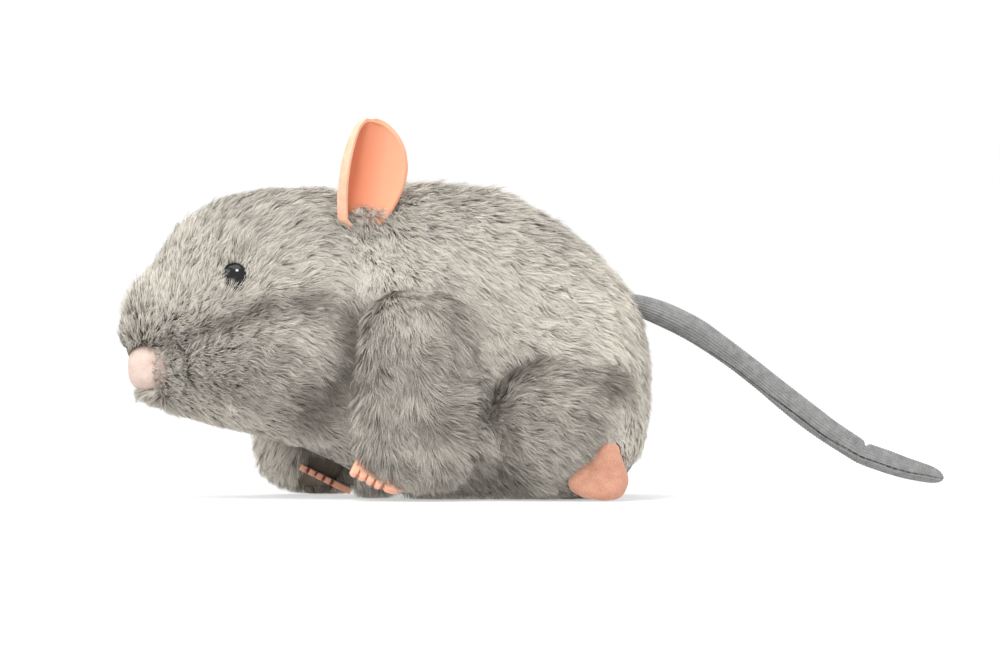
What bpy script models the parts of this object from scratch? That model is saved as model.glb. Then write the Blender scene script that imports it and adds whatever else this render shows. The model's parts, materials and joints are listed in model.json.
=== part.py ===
"""Plush clockwork mouse: fur panels and stuffing over a spring motor that drives two wheels.

The mouse faces -X, its left side is -Y, and its wheels stand on z = 0. Every size below is in
millimetres; MM turns it into Blender's metres where a mesh, a curve or an empty is made.
"""
import math

import bpy
import bmesh
from mathutils import Matrix, Vector

MM = 0.001
GAP = 0.35          # between pieces that lie against each other
SHAFT_GAP = 0.2     # round a shaft in its hole

# ---- body: x, belly height, back height, half width, height of the widest line
BODY_STATIONS = (
    (-140.5, 47.0, 62.0, 5.0, 55.0),
    (-137.5, 38.5, 69.0, 8.0, 56.0),
    (-130.0, 33.5, 80.0, 12.0, 60.0),
    (-118.0, 29.5, 95.5, 19.5, 64.0),
    (-104.0, 26.0, 103.5, 26.5, 65.0),
    (-84.0, 21.0, 106.0, 31.5, 65.0),
    (-62.0, 10.5, 105.0, 31.0, 60.0),
    (-50.0, 5.0, 106.0, 32.0, 54.0),
    (-36.0, 2.2, 106.5, 34.0, 48.0),
    (-18.0, 2.0, 105.0, 36.0, 45.0),
    (2.0, 2.0, 96.0, 37.5, 42.0),
    (18.0, 3.6, 84.5, 36.5, 42.0),
    (28.0, 8.5, 74.0, 32.0, 42.0),
    (34.0, 15.0, 65.0, 25.0, 41.0),
    (37.5, 25.0, 54.0, 15.0, 40.0),
    (38.7, 36.0, 45.0, 5.0, 40.0),
)
RING_STEP = 15.0            # degrees between the points of a body section
BACK_SQUARENESS = 2.2       # superellipse exponent of a section's upper half
BELLY_SQUARENESS = 4.0      # and of its lower half, which is flatter
SKIN_THICKNESS = 2.2
NECK_X = -62.0              # seam between the head panels and the back panels
BELLY_EDGE = 130.0          # angle from the top where the belly panel starts
CHEEK_EDGE = 90.0           # angle from the top where the jaw panel starts

# ---- chassis tray and motor plates
TRAY_BOTTOM = 3.0
TRAY_THICKNESS = 3.0
TRAY_FRONT = -48.0
TRAY_REAR = 25.0
TRAY_HALF_WIDTH = 26.0
PLATE_FRONT = -24.0
PLATE_REAR = 20.0
PLATE_TOP = 70.0
PLATE_INNER_Y = 13.0
PLATE_THICKNESS = 1.2
TAB_LENGTH = 8.0
TAB_X = (-17.0, 13.0)
PILLARS = {"pillar_front": (-20.0, 11.5), "pillar_rear": (15.5, 14.0)}
PILLARS.update({"pillar_middle": (-20.0, 40.0), "pillar_top": (15.5, 64.5)})
PILLAR_RADIUS = 1.7
RIVET_RADIUS = 1.0

# ---- gear train, from the drive axle up to the spring barrel
MODULE = 0.7
PINION_TEETH = 14
WHEEL_TEETH = 30
BARREL_TEETH = 42
AXLE_X = 4.0
TYRE_RADIUS = 12.0
LEANS = {"third": -25.0, "second": 11.0, "barrel": -13.0}   # degrees of each step from upright
ARBOR_RADIUS = 1.2
AXLE_RADIUS = 1.5
WINDER_RADIUS = 2.0
DRUM_RADIUS = 13.6
DRUM_WALL = 0.9
DRUM_Y = (-9.0, 3.0)
RIM_THICKNESS = 2.0
TURNS_OF_SPRING = 5
RATCHET_TEETH = 16
RATCHET_RADIUS = 6.5
RATCHET_Y = 15.8
RATCHET_THICKNESS = 1.4
CLICK_PIVOT = (11.5, -5.0)   # from the barrel's centre

# ---- wheels and roller
WHEEL_Y = 19.8
WHEEL_WIDTH = 4.6
WHEEL_RADIUS = 9.2
TYRE_WIDTH = 5.4
ROLLER_X = -39.5
ROLLER_RADIUS = 5.5
ROLLER_WIDTH = 9.0
ROLLER_PIN_RADIUS = 1.0

# ---- winding key
KEY_STEM_Y = (30.0, 43.0)
KEY_STEM_RADIUS = 3.3
KEY_TIP_Y = 51.5
KEY_HALF_WIDTH = 12.0
KEY_THICKNESS = 2.0

# ---- limbs
SHOULDER = {"left": (-40.0, 60.0), "right": (-69.0, 57.0)}
FORELEG_Y = 43.6
FORELEG_SECTIONS = (        # distance below the shoulder, half width, half thickness
    (-13.0, 5.5, 3.0),
    (-10.0, 10.5, 5.0),
    (-4.0, 14.5, 6.3),
    (6.0, 16.0, 7.0),
    (18.0, 16.8, 7.0),
    (30.0, 17.2, 7.0),
    (40.0, 16.8, 7.0),
    (48.0, 14.6, 6.2),
    (53.0, 9.5, 4.6),
    (55.0, 4.0, 2.6),
)
FORELEG_LEAN = {"left": 1.0, "right": 11.0}     # degrees forward of straight down
HAUNCH_CENTRE = (12.0, 38.0, 24.8)
HAUNCH_RADII = (26.0, 12.0, 23.0)
FOOT_CENTRE = (23.9, 47.6, 11.3)
FOOT_RADII = (11.5, 2.5, 11.0)
FOOT_HEEL = 0.32            # share by which the foot narrows towards its heel
FOOT_LEAN = -57.0
PAW_SIZE = (20.0, 12.0, 2.2)
PAW_CENTRE = {"left": (-52.5, -46.0, 9.0), "right": (-72.3, 39.2, 5.6)}
TOES = 4
TOE_WIDTH = 3.1
TOE_SLIT_HALF = 0.3
TOE_SLIT_DEPTH = 2.8

# ---- head
EYE_CENTRE = (-103.0, 77.6)
EYE_RADIUS = 5.0
EYE_STEM_RADIUS = 1.6
EYE_STEM_LENGTH = 9.0
NOSE_CENTRE = (-131.0, 45.5)
NOSE_RADII = (9.6, 12.0, 8.1)
NOSE_SQUARENESS = 2.8
EAR_BASE = (-58.3, 20.5)
EAR_HEIGHT = 32.5
EAR_THICKNESS = 1.6

# ---- tail: centre line in x and z, and its radius at each point
TAIL_POINTS = (
    (36.8, 67.4, 3.4),
    (44.0, 65.2, 3.9),
    (50.0, 62.6, 4.2),
    (57.8, 58.5, 4.2),
    (65.5, 53.3, 4.0),
    (73.2, 47.7, 3.8),
    (81.0, 41.6, 3.8),
    (88.7, 35.4, 4.1),
    (96.4, 29.2, 4.2),
    (104.1, 23.6, 4.0),
    (110.0, 19.7, 3.9),
    (113.6, 17.1, 3.5),
)
TAIL_TIP_POINTS = (
    (115.2, 15.9, 2.1),
    (116.4, 15.5, 2.6),
    (118.4, 14.9, 3.4),
    (121.0, 14.0, 3.8),
    (124.0, 13.0, 3.8),
    (131.0, 10.5, 3.5),
    (138.0, 8.5, 3.0),
    (141.4, 7.5, 2.2),
    (142.6, 7.3, 1.3),
)
TAIL_WALL = 1.1
TIP_FLATNESS = 0.6          # of its width to its height

MATERIALS = {               # colour, roughness, metallic
    "fur_grey": ((0.47, 0.445, 0.395), 0.9, 0.0),
    "stuffing": ((0.85, 0.85, 0.83), 0.95, 0.0),
    "felt_peach": ((0.86, 0.46, 0.27), 0.9, 0.0),
    "nose_cloth": ((0.89, 0.76, 0.68), 0.85, 0.0),
    "eye_black": ((0.012, 0.011, 0.013), 0.08, 0.0),
    "tail_knit": ((0.29, 0.29, 0.29), 0.85, 0.0),
    "chassis_plastic": ((0.10, 0.10, 0.11), 0.45, 0.0),
    "wheel_plastic": ((0.70, 0.68, 0.62), 0.4, 0.0),
    "steel": ((0.56, 0.57, 0.58), 0.35, 1.0),
    "brass": ((0.80, 0.62, 0.30), 0.3, 1.0),
    "rubber": ((0.03, 0.03, 0.03), 0.8, 0.0),
}


# ---------------------------------------------------------------- scene helpers

def clear_scene():
    for old in list(bpy.data.objects):
        bpy.data.objects.remove(old, do_unlink=True)


def new_collection(name):
    made = bpy.data.collections.new(name)
    bpy.context.scene.collection.children.link(made)
    return made


def material(name):
    made = bpy.data.materials.get(name)
    if made:
        return made
    colour, roughness, metallic = MATERIALS[name]
    made = bpy.data.materials.new(name)
    made.use_nodes = True
    shader = made.node_tree.nodes["Principled BSDF"]
    shader.inputs["Base Color"].default_value = (*colour, 1.0)
    shader.inputs["Roughness"].default_value = roughness
    shader.inputs["Metallic"].default_value = metallic
    return made


def place(obj, finish, parent):
    """Links a finished piece to the mouse; a piece with no finish is a cutter."""
    if finish:
        PIECES.objects.link(obj)
        obj.data.materials.clear()
        obj.data.materials.append(material(finish))
        obj.parent = parent or MOUSE
    else:
        CUTTERS.objects.link(obj)
        obj.hide_render = True
        obj.display_type = "WIRE"
    return obj


def pivot(name, x, y, z):
    """An empty on a joint's axis, which carries the pieces that turn about it."""
    made = bpy.data.objects.new(name, None)
    made.empty_display_size = 5 * MM
    made.location = Vector((x, y, z)) * MM
    made.parent = MOUSE
    PIECES.objects.link(made)
    return made


def mesh_piece(name, bm, finish, location=(0, 0, 0), parent=None, smooth=40.0):
    """An object from a bmesh in millimetres, with its faces turned outwards."""
    bmesh.ops.recalc_face_normals(bm, faces=bm.faces)
    bmesh.ops.scale(bm, vec=(MM, MM, MM), verts=bm.verts)
    mesh = bpy.data.meshes.new(name)
    bm.to_mesh(mesh)
    bm.free()
    mesh.shade_smooth()
    mesh.set_sharp_from_angle(angle=math.radians(smooth))
    obj = bpy.data.objects.new(name, mesh)
    obj.location = Vector(location) * MM
    return place(obj, finish, parent)


def boolean(obj, other, operation="DIFFERENCE"):
    made = obj.modifiers.new(operation.lower(), "BOOLEAN")
    made.operation = operation
    made.solver = "EXACT"
    made.object = other


# ---------------------------------------------------------------- shape helpers

def box(name, low, high, finish=None, parent=None, bevel=0.0, location=(0, 0, 0)):
    bm = bmesh.new()
    bmesh.ops.create_cube(bm, size=1.0)
    size = Vector(high) - Vector(low)
    bmesh.ops.scale(bm, vec=size, verts=bm.verts)
    bmesh.ops.translate(bm, vec=(Vector(low) + Vector(high)) / 2, verts=bm.verts)
    obj = mesh_piece(name, bm, finish, location, parent)
    if bevel:
        rounded = obj.modifiers.new("edges", "BEVEL")
        rounded.width = bevel * MM
        rounded.segments = 2
    return obj


def rod(name, start, end, radius, finish=None, parent=None, sides=14, origin=(0, 0, 0)):
    """A cylinder between two points, given from the piece's own origin."""
    start, end = Vector(start), Vector(end)
    bm = bmesh.new()
    bmesh.ops.create_cone(
        bm, cap_ends=True, segments=sides, radius1=radius, radius2=radius, depth=(end - start).length
    )
    turn = Vector((0, 0, 1)).rotation_difference(end - start).to_matrix().to_4x4()
    bmesh.ops.transform(bm, matrix=Matrix.Translation((start + end) / 2) @ turn, verts=bm.verts)
    return mesh_piece(name, bm, finish, origin, parent)


def turned(name, profile, centre, finish, parent=None, steps=18):
    """A piece turned about the Y axis through centre; profile is (radius, y) from +y down to -y."""
    mesh = bpy.data.meshes.new(name)
    points = [(radius * MM, 0.0, along * MM) for radius, along in profile]
    mesh.from_pydata(points, [(i, i + 1) for i in range(len(points) - 1)], [])
    obj = bpy.data.objects.new(name, mesh)
    screw = obj.modifiers.new("turn", "SCREW")
    screw.axis = "Z"
    screw.steps = steps
    screw.render_steps = steps
    screw.use_merge_vertices = True
    screw.merge_threshold = 0.00001
    obj.rotation_euler = (-math.pi / 2, 0.0, 0.0)
    obj.location = Vector(centre) * MM
    return place(obj, finish, parent)


def ring_profile(inner, outer, low, high):
    """A closed profile for a turned ring."""
    return [(outer, high), (outer, low), (inner, low), (inner, high), (outer, high)]


def flat(name, outlines, thickness, centre, finish, parent=None):
    """A plate in the XZ plane, cut to closed outlines; an outline inside another is a hole."""
    curve = bpy.data.curves.new(name, "CURVE")
    curve.dimensions = "2D"
    curve.fill_mode = "BOTH"
    curve.extrude = thickness * MM / 2
    for outline in outlines:
        spline = curve.splines.new("POLY")
        spline.points.add(len(outline) - 1)
        for point, (x, z) in zip(spline.points, outline):
            point.co = (x * MM, z * MM, 0.0, 1.0)
        spline.use_cyclic_u = True
    obj = bpy.data.objects.new(name, curve)
    obj.rotation_euler = (math.pi / 2, 0.0, 0.0)
    obj.location = Vector(centre) * MM
    return place(obj, finish, parent)


def meshed(obj):
    """The same piece as a mesh with its caps welded, so that a Boolean can work on it."""
    bpy.context.view_layer.update()
    name, old_data, parent, matrix = obj.name, obj.data, obj.parent, obj.matrix_world.copy()
    graph = bpy.context.evaluated_depsgraph_get()
    mesh = bpy.data.meshes.new_from_object(obj.evaluated_get(graph))
    bm = bmesh.new()
    bm.from_mesh(mesh)
    bmesh.ops.remove_doubles(bm, verts=bm.verts, dist=0.01 * MM)
    bm.to_mesh(mesh)
    bm.free()
    collections = list(obj.users_collection)
    is_cutter = obj.hide_render
    bpy.data.objects.remove(obj, do_unlink=True)
    if old_data.users == 0 and isinstance(old_data, bpy.types.Curve):
        bpy.data.curves.remove(old_data)
    made = bpy.data.objects.new(name, mesh)
    for collection in collections:
        collection.objects.link(made)
    made.hide_render = is_cutter
    made.parent = parent
    made.matrix_world = matrix
    return made


def circle(radius, sides=20, x=0.0, z=0.0):
    turns = [2 * math.pi * i / sides for i in range(sides)]
    return [(x + radius * math.cos(a), z + radius * math.sin(a)) for a in turns]


def gear_outline(teeth, phase=0.0):
    """Tooth outline of MODULE with backlash; phase is the angle of the first tooth, in teeth."""
    pitch_radius = MODULE * teeth / 2
    tip, root = pitch_radius + 0.8 * MODULE, pitch_radius - 1.1 * MODULE
    points = []
    for i in range(teeth):
        middle = (i + phase) * 2 * math.pi / teeth
        root_half, tip_half = (0.30 * 2 * math.pi / teeth, 0.11 * 2 * math.pi / teeth)
        for radius, offset in ((root, -root_half), (tip, -tip_half), (tip, tip_half), (root, root_half)):
            angle = middle + offset
            points.append((radius * math.cos(angle), radius * math.sin(angle)))
    return points


def loft(sections):
    """A closed body through rings of equal point counts, with flat ends."""
    bm = bmesh.new()
    rings = [[bm.verts.new(point) for point in section] for section in sections]
    count = len(rings[0])
    for near, far in zip(rings, rings[1:]):
        for i in range(count):
            j = (i + 1) % count
            bm.faces.new((near[i], near[j], far[j], far[i]))
    bm.faces.new(rings[0])
    bm.faces.new(list(reversed(rings[-1])))
    return bm


def shell_patch(outer, inner):
    """A closed piece between two grids of equal size."""
    bm = bmesh.new()
    out = [[bm.verts.new(point) for point in row] for row in outer]
    ins = [[bm.verts.new(point) for point in row] for row in inner]
    rows, columns = len(out), len(out[0])
    for i in range(rows - 1):
        for j in range(columns - 1):
            bm.faces.new((out[i][j], out[i][j + 1], out[i + 1][j + 1], out[i + 1][j]))
            bm.faces.new((ins[i][j], ins[i + 1][j], ins[i + 1][j + 1], ins[i][j + 1]))
    for i in range(rows - 1):
        bm.faces.new((out[i][0], out[i + 1][0], ins[i + 1][0], ins[i][0]))
        bm.faces.new((out[i + 1][-1], out[i][-1], ins[i][-1], ins[i + 1][-1]))
    for j in range(columns - 1):
        bm.faces.new((out[0][j + 1], out[0][j], ins[0][j], ins[0][j + 1]))
        bm.faces.new((out[-1][j], out[-1][j + 1], ins[-1][j + 1], ins[-1][j]))
    return bm


# ---------------------------------------------------------------- the body's surface

def body_section(x):
    """Belly height, back height, half width and widest height at x, between the stations."""
    for near, far in zip(BODY_STATIONS, BODY_STATIONS[1:]):
        if x <= far[0]:
            break
    share = (x - near[0]) / (far[0] - near[0])
    return [a + (b - a) * share for a, b in zip(near[1:], far[1:])]


def signed_power(value, power):
    return math.copysign(abs(value) ** power, value)


def body_point(x, angle, inset=0.0):
    """A point of the body's surface, or of the surface that lies inset within it.

    The angle runs in degrees from the top, over the left side, under the belly and back.
    """
    low, high, half_width, widest = body_section(x)
    turn = math.radians(angle)
    upper = math.cos(turn) > 0
    power = 2 / (BACK_SQUARENESS if upper else BELLY_SQUARENESS)
    height = (high - widest if upper else widest - low) - inset
    y = -(half_width - inset) * signed_power(math.sin(turn), power)
    z = widest + height * signed_power(math.cos(turn), power)
    first, last = BODY_STATIONS[0][0], BODY_STATIONS[-1][0]
    middle = (first + last) / 2
    shrink = 1 - 2 * inset / (last - first)
    return (middle + (x - middle) * shrink, y, z)


def body_top(x, y):
    """Height of the back over a point."""
    _, high, half_width, widest = body_section(x)
    share = abs(y / half_width) ** BACK_SQUARENESS
    return widest + (high - widest) * (1 - share) ** (1 / BACK_SQUARENESS)


def body_side(x, z):
    """Half width of the body's upper half at a height."""
    _, high, half_width, widest = body_section(x)
    share = ((z - widest) / (high - widest)) ** BACK_SQUARENESS
    return half_width * (1 - share) ** (1 / BACK_SQUARENESS)


def stations_between(start, end):
    inner = [s[0] for s in BODY_STATIONS if start + 1 < s[0] < end - 1]
    return [start, *inner, end]


def angles_between(start, end):
    steps = range(round(360 / RING_STEP))
    inner = [i * RING_STEP for i in steps if start + 1.5 < i * RING_STEP < end - 1.5]
    return [start, *inner, end]


def body_loft(inset):
    angles = [i * RING_STEP for i in range(round(360 / RING_STEP))]
    return loft([[body_point(s[0], a, inset) for a in angles] for s in BODY_STATIONS])


def skin_panel(name, start, end, first_angle, last_angle):
    """One cut and sewn fur panel, as a patch of the body's surface with thickness."""
    along = stations_between(start, end)
    around = angles_between(first_angle, last_angle)
    outer = [[body_point(x, a) for a in around] for x in along]
    inner = [[body_point(x, a, SKIN_THICKNESS) for a in around] for x in along]
    return mesh_piece(name, shell_patch(outer, inner), "fur_grey", smooth=60)


# ---------------------------------------------------------------- soft pieces

def body_panels():
    """The six fur panels; seams run along the back, the cheek line, the neck and the belly."""
    nose_end, tail_end = BODY_STATIONS[0][0], BODY_STATIONS[-1][0]
    seam = 0.7
    head_end, back_start = NECK_X - GAP / 2, NECK_X + GAP / 2
    made = {
        "head_fur_left": (nose_end, head_end, seam, CHEEK_EDGE - seam),
        "head_fur_right": (nose_end, head_end, 360 - CHEEK_EDGE + seam, 360 - seam),
        "jaw_fur": (nose_end, head_end, CHEEK_EDGE + seam, 360 - CHEEK_EDGE - seam),
        "back_fur_left": (back_start, tail_end, seam, BELLY_EDGE - seam),
        "back_fur_right": (back_start, tail_end, 360 - BELLY_EDGE + seam, 360 - seam),
        "belly_fur": (back_start, tail_end, BELLY_EDGE + seam, 360 - BELLY_EDGE - seam),
    }
    return {name: skin_panel(name, *ends) for name, ends in made.items()}


def stuffing(train):
    """The fibre filling of head and body, with a pocket for the motor that is open below."""
    filling = mesh_piece("stuffing", body_loft(SKIN_THICKNESS + GAP), "stuffing", smooth=60)
    room = 2.0
    side = PLATE_INNER_Y + PLATE_THICKNESS
    click_room = RATCHET_Y + RATCHET_THICKNESS + room
    well = TYRE_RADIUS + room
    barrel_x, barrel_z = train["barrel"]
    barrel_room = MODULE * (BARREL_TEETH / 2 + 1) + room
    cuts = [
        box(
            "motor_pocket",
            (PLATE_FRONT - room, -side - room, -5),
            (PLATE_REAR + room, click_room, PLATE_TOP + room),
        ),
        box(
            "tray_pocket",
            (TRAY_FRONT - 1, -TRAY_HALF_WIDTH - 0.5, -6),
            (TRAY_REAR + 1, TRAY_HALF_WIDTH + 0.5, TRAY_BOTTOM + TRAY_THICKNESS + 1),
        ),
        box(
            "wheel_pocket",
            (AXLE_X - well, -WHEEL_Y - WHEEL_WIDTH, -7),
            (AXLE_X + well, WHEEL_Y + WHEEL_WIDTH, TYRE_RADIUS + well),
        ),
        box("roller_pocket", (ROLLER_X - 7, -10, -8), (ROLLER_X + 7, 10, 2 * ROLLER_RADIUS + room)),
        rod(
            "barrel_pocket",
            (barrel_x, DRUM_Y[0] - room, barrel_z),
            (barrel_x, DRUM_Y[1] + room, barrel_z),
            barrel_room,
            sides=32,
        ),
        rod("key_pocket", (barrel_x, 10, barrel_z), (barrel_x, 60, barrel_z), KEY_STEM_RADIUS + 2.0),
    ]
    for cutter in cuts:
        boolean(filling, cutter)
    return filling


def eye_frame(side):
    """The eye's seat on the skin and the direction that it looks in, left (-1) or right (+1)."""
    x, z = EYE_CENTRE
    return Vector((x, side * body_side(x, z), z)), Vector((-0.22, side, 0.22)).normalized()


def eye(side, label, head_panel, filling):
    """A domed safety eye on a stem, and the washer that locks it inside the head."""
    seat, outward = eye_frame(side)
    turn = Vector((0, 0, 1)).rotation_difference(outward).to_euler()
    dome_height = 3.2
    washer_at = -SKIN_THICKNESS - 2.6
    steps = 4
    quarter = [math.pi / 2 * i / steps for i in range(steps + 1)]
    dome = [(EYE_RADIUS * math.sin(a), GAP + dome_height * math.cos(a)) for a in quarter]
    stem_end = -EYE_STEM_LENGTH
    profile = [*dome, (EYE_STEM_RADIUS, GAP), (EYE_STEM_RADIUS, stem_end + 1), (0.8, stem_end)]
    profile.append((0.0, stem_end))
    made = turned("eye_" + label, profile, seat, "eye_black", steps=14)
    made.rotation_euler = turn
    washer_outer, washer_half = 4.6, 0.6
    bore = EYE_STEM_RADIUS + SHAFT_GAP
    ring = ring_profile(bore, washer_outer, washer_at - washer_half, washer_at + washer_half)
    washer = turned("eye_washer_" + label, ring, seat, "chassis_plastic", steps=14)
    washer.rotation_euler = turn
    hole = rod("eye_hole_" + label, seat + outward * 6, seat - outward * 12, bore + 0.2)
    boolean(head_panel, hole)
    pocket = rod("eye_pocket_" + label, seat + outward * 6, seat - outward * 10.5, washer_outer + 0.5)
    boolean(filling, pocket)


def nose(neighbours):
    """The short-pile cloth tip of the muzzle, let into the front of the fur panels."""
    x, z = NOSE_CENTRE

    def cap(name, finish, grown):
        bm = bmesh.new()
        bmesh.ops.create_uvsphere(bm, u_segments=20, v_segments=12, radius=1.0)
        for vert in bm.verts:
            reach = sum(abs(c) ** NOSE_SQUARENESS for c in vert.co) ** (1 / NOSE_SQUARENESS)
            vert.co /= reach
        radii = [r + grown for r in NOSE_RADII]
        bmesh.ops.scale(bm, vec=radii, verts=bm.verts)
        made = mesh_piece(name, bm, finish, (x, 0.0, z))
        boolean(made, box(name + "_behind", (x - 0.5 + grown, -20, 20), (x + 20, 20, 70)))
        return made

    cap("nose", "nose_cloth", 0.0)
    seat = cap("nose_seat", None, GAP)
    for neighbour in neighbours:
        boolean(neighbour, seat)


def ear(side, label):
    """A cupped felt ear, pinched at its base and open outwards; it folds about its base line."""
    x, y = EAR_BASE
    base = body_top(x, y) + 3.4
    hinge = pivot("ear_hinge_" + label, x, side * y, base)
    rows, columns = 6, 6
    bm = bmesh.new()
    grid = []
    for i in range(rows + 1):
        up = i / rows
        half_width = 4.2 + 7.2 * math.sin(math.pi * min(1.0, up * 0.86 + 0.05)) ** 0.9
        if up > 0.75:
            half_width *= math.sqrt(max(0.06, 1 - ((up - 0.75) / 0.26) ** 2))
        depth = 2.0 + 3.4 * math.sin(math.pi * up)
        lean = 3.6 * up
        row = []
        for j in range(columns + 1):
            across = 2 * j / columns - 1
            bowl = 1 - across * across
            row.append(
                bm.verts.new(
                    (half_width * across + lean, -side * depth * (bowl - 0.5), EAR_HEIGHT * up)
                )
            )
        grid.append(row)
    for low, high in zip(grid, grid[1:]):
        for j in range(columns):
            bm.faces.new((low[j], low[j + 1], high[j + 1], high[j]))
    obj = mesh_piece("ear_" + label, bm, "felt_peach", (0, 0, 0), hinge, smooth=60)
    shell = obj.modifiers.new("felt", "SOLIDIFY")
    shell.thickness = EAR_THICKNESS * MM
    shell.offset = 0.0
    return obj


def foreleg_loft(inset):
    """The flattened tube of a foreleg, in its own frame: the shoulder at 0 and the paw at -z."""
    sides, squareness = 14, 2.6
    power = 2 / squareness
    first, last = FORELEG_SECTIONS[0][0], FORELEG_SECTIONS[-1][0]
    middle = (first + last) / 2
    shrink = 1 - 2 * inset / (last - first)
    sections = []
    for down, half_width, half_thickness in FORELEG_SECTIONS:
        z = -(middle + (down - middle) * shrink)
        ring = []
        for i in range(sides):
            turn = 2 * math.pi * i / sides
            x = (half_width - inset) * signed_power(math.cos(turn), power)
            ring.append((x, (half_thickness - inset) * signed_power(math.sin(turn), power), z))
        sections.append(ring)
    return loft(sections)


def paw_frame(side, label):
    """Where a forepaw lies, in the mouse's frame: along its toes' row, and towards the toes."""
    row = Vector((0.894, 0.0, -0.447))
    if side < 0:
        toes = Vector((-0.30, -0.75, -0.60)).normalized()
    else:
        toes = Vector((0.0, -1.0, 0.0))
    normal = row.cross(toes).normalized()
    toes = normal.cross(row)
    turn = Matrix((row, toes, normal)).transposed().to_4x4()
    return Matrix.Translation(PAW_CENTRE[label]) @ turn


def paw_outline():
    """A felt paw from above: a rounded palm whose front edge is cut into toes over part of its length."""
    length, depth, _ = PAW_SIZE
    front, back = depth / 2, -depth / 2
    points = [(-length / 2 + 2, back), (-length / 2, back + 2)]
    for i in range(TOES):
        left = -length / 2 + i * TOE_WIDTH
        right = left + TOE_WIDTH
        inset_left = TOE_SLIT_HALF if i else 0.0
        if i:
            points.append((left + inset_left, front - TOE_SLIT_DEPTH))
        points.append((left + inset_left, front - 1.1))
        points.append((left + TOE_WIDTH * 0.3, front))
        points.append((right - TOE_WIDTH * 0.3, front))
        points.append((right - TOE_SLIT_HALF, front - 1.1))
        points.append((right - TOE_SLIT_HALF, front - TOE_SLIT_DEPTH))
    rest = -length / 2 + TOES * TOE_WIDTH
    points.append((rest + TOE_SLIT_HALF, front - TOE_SLIT_DEPTH))
    points.append((rest + TOE_SLIT_HALF, front - 1.5))
    points.append((rest + 1.8, front - 0.6))
    points.append((rest + 4.2, front - 1.2))
    points.append((length / 2 - 1.4, front - 3.0))
    points.append((length / 2, front - 5.2))
    points.extend([(length / 2, back + 2), (length / 2 - 2, back)])
    return points


def prism(outline, thickness):
    """An outline in the XY plane, made thick along Z."""
    bm = bmesh.new()
    low = [bm.verts.new((x, y, -thickness / 2)) for x, y in outline]
    high = [bm.verts.new((x, y, thickness / 2)) for x, y in outline]
    bm.faces.new(list(reversed(low)))
    bm.faces.new(high)
    count = len(outline)
    for i in range(count):
        j = (i + 1) % count
        bm.faces.new((low[i], low[j], high[j], high[i]))
    return bm


def foreleg(side, label):
    """A stuffed fur foreleg with a felt paw; the whole limb turns at the shoulder seam."""
    x, z = SHOULDER[label]
    shoulder = Vector((x, side * FORELEG_Y, z))
    hinge = pivot("shoulder_" + label, *shoulder)
    lean = math.radians(FORELEG_LEAN[label])
    from_hinge = Matrix.Translation(-shoulder)

    def limb(name, inset, finish, parent):
        bm = foreleg_loft(inset)
        bmesh.ops.rotate(bm, cent=(0, 0, 0), matrix=Matrix.Rotation(lean, 3, "Y"), verts=bm.verts)
        at = (0, 0, 0) if finish else shoulder
        return mesh_piece(name, bm, finish, at, parent, smooth=60)

    wall = 1.8
    sleeve = limb("foreleg_" + label, 0.0, "fur_grey", hinge)
    fill = limb("foreleg_fill_" + label, wall + GAP, "stuffing", hinge)
    boolean(sleeve, limb("foreleg_hollow_" + label, wall, None, None))
    seam = rod(
        "shoulder_seam_" + label,
        (x, side * (FORELEG_Y - 12), z),
        (x, side * FORELEG_Y, z),
        5.0,
    )
    boolean(sleeve, seam)
    at = paw_frame(side, label)
    bm = prism(paw_outline(), PAW_SIZE[2])
    bmesh.ops.transform(bm, matrix=from_hinge @ at, verts=bm.verts)
    mesh_piece("forepaw_" + label, bm, "felt_peach", (0, 0, 0), hinge, smooth=30)
    grown = [s / 2 + GAP for s in PAW_SIZE]
    slot = bmesh.new()
    bmesh.ops.create_cube(slot, size=2.0)
    bmesh.ops.scale(slot, vec=grown, verts=slot.verts)
    bmesh.ops.transform(slot, matrix=at, verts=slot.verts)
    cutter = mesh_piece("paw_slot_" + label, slot, None)
    boolean(sleeve, cutter)
    boolean(fill, cutter)


def haunch(side, label, body_cutter):
    """The stuffed fur thigh on the flank, with the felt-covered hind foot let into it."""
    x, y, z = HAUNCH_CENTRE
    foot_x, foot_y, foot_z = FOOT_CENTRE
    wall = 1.8

    def dome(name, inset, finish):
        bm = bmesh.new()
        bmesh.ops.create_uvsphere(bm, u_segments=16, v_segments=10, radius=1.0)
        bmesh.ops.scale(bm, vec=[r - inset for r in HAUNCH_RADII], verts=bm.verts)
        return mesh_piece(name, bm, finish, (x, side * y, z), smooth=60)

    thigh = dome("hind_leg_" + label, 0.0, "fur_grey")
    fill = dome("hind_fill_" + label, wall + GAP, "stuffing")
    boolean(thigh, dome("hind_hollow_" + label, wall, None))
    boolean(thigh, body_cutter)
    boolean(fill, body_cutter)

    def foot(name, grown, finish):
        bm = bmesh.new()
        bmesh.ops.create_uvsphere(bm, u_segments=14, v_segments=8, radius=1.0)
        radii = [r + grown for r in FOOT_RADII]
        bmesh.ops.scale(bm, vec=radii, verts=bm.verts)
        for vert in bm.verts:
            heel = (vert.co.x / radii[0] + 1) / 2
            vert.co.z *= 1.0 - FOOT_HEEL * heel
        lean = math.radians(FOOT_LEAN)
        bmesh.ops.rotate(bm, cent=(0, 0, 0), matrix=Matrix.Rotation(lean, 3, "Y"), verts=bm.verts)
        return mesh_piece(name, bm, finish, (foot_x, side * foot_y, foot_z), smooth=50)

    foot("hind_foot_" + label, 0.0, "felt_peach")
    socket = foot("foot_socket_" + label, GAP, None)
    boolean(thigh, socket)
    boolean(fill, socket)


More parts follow.
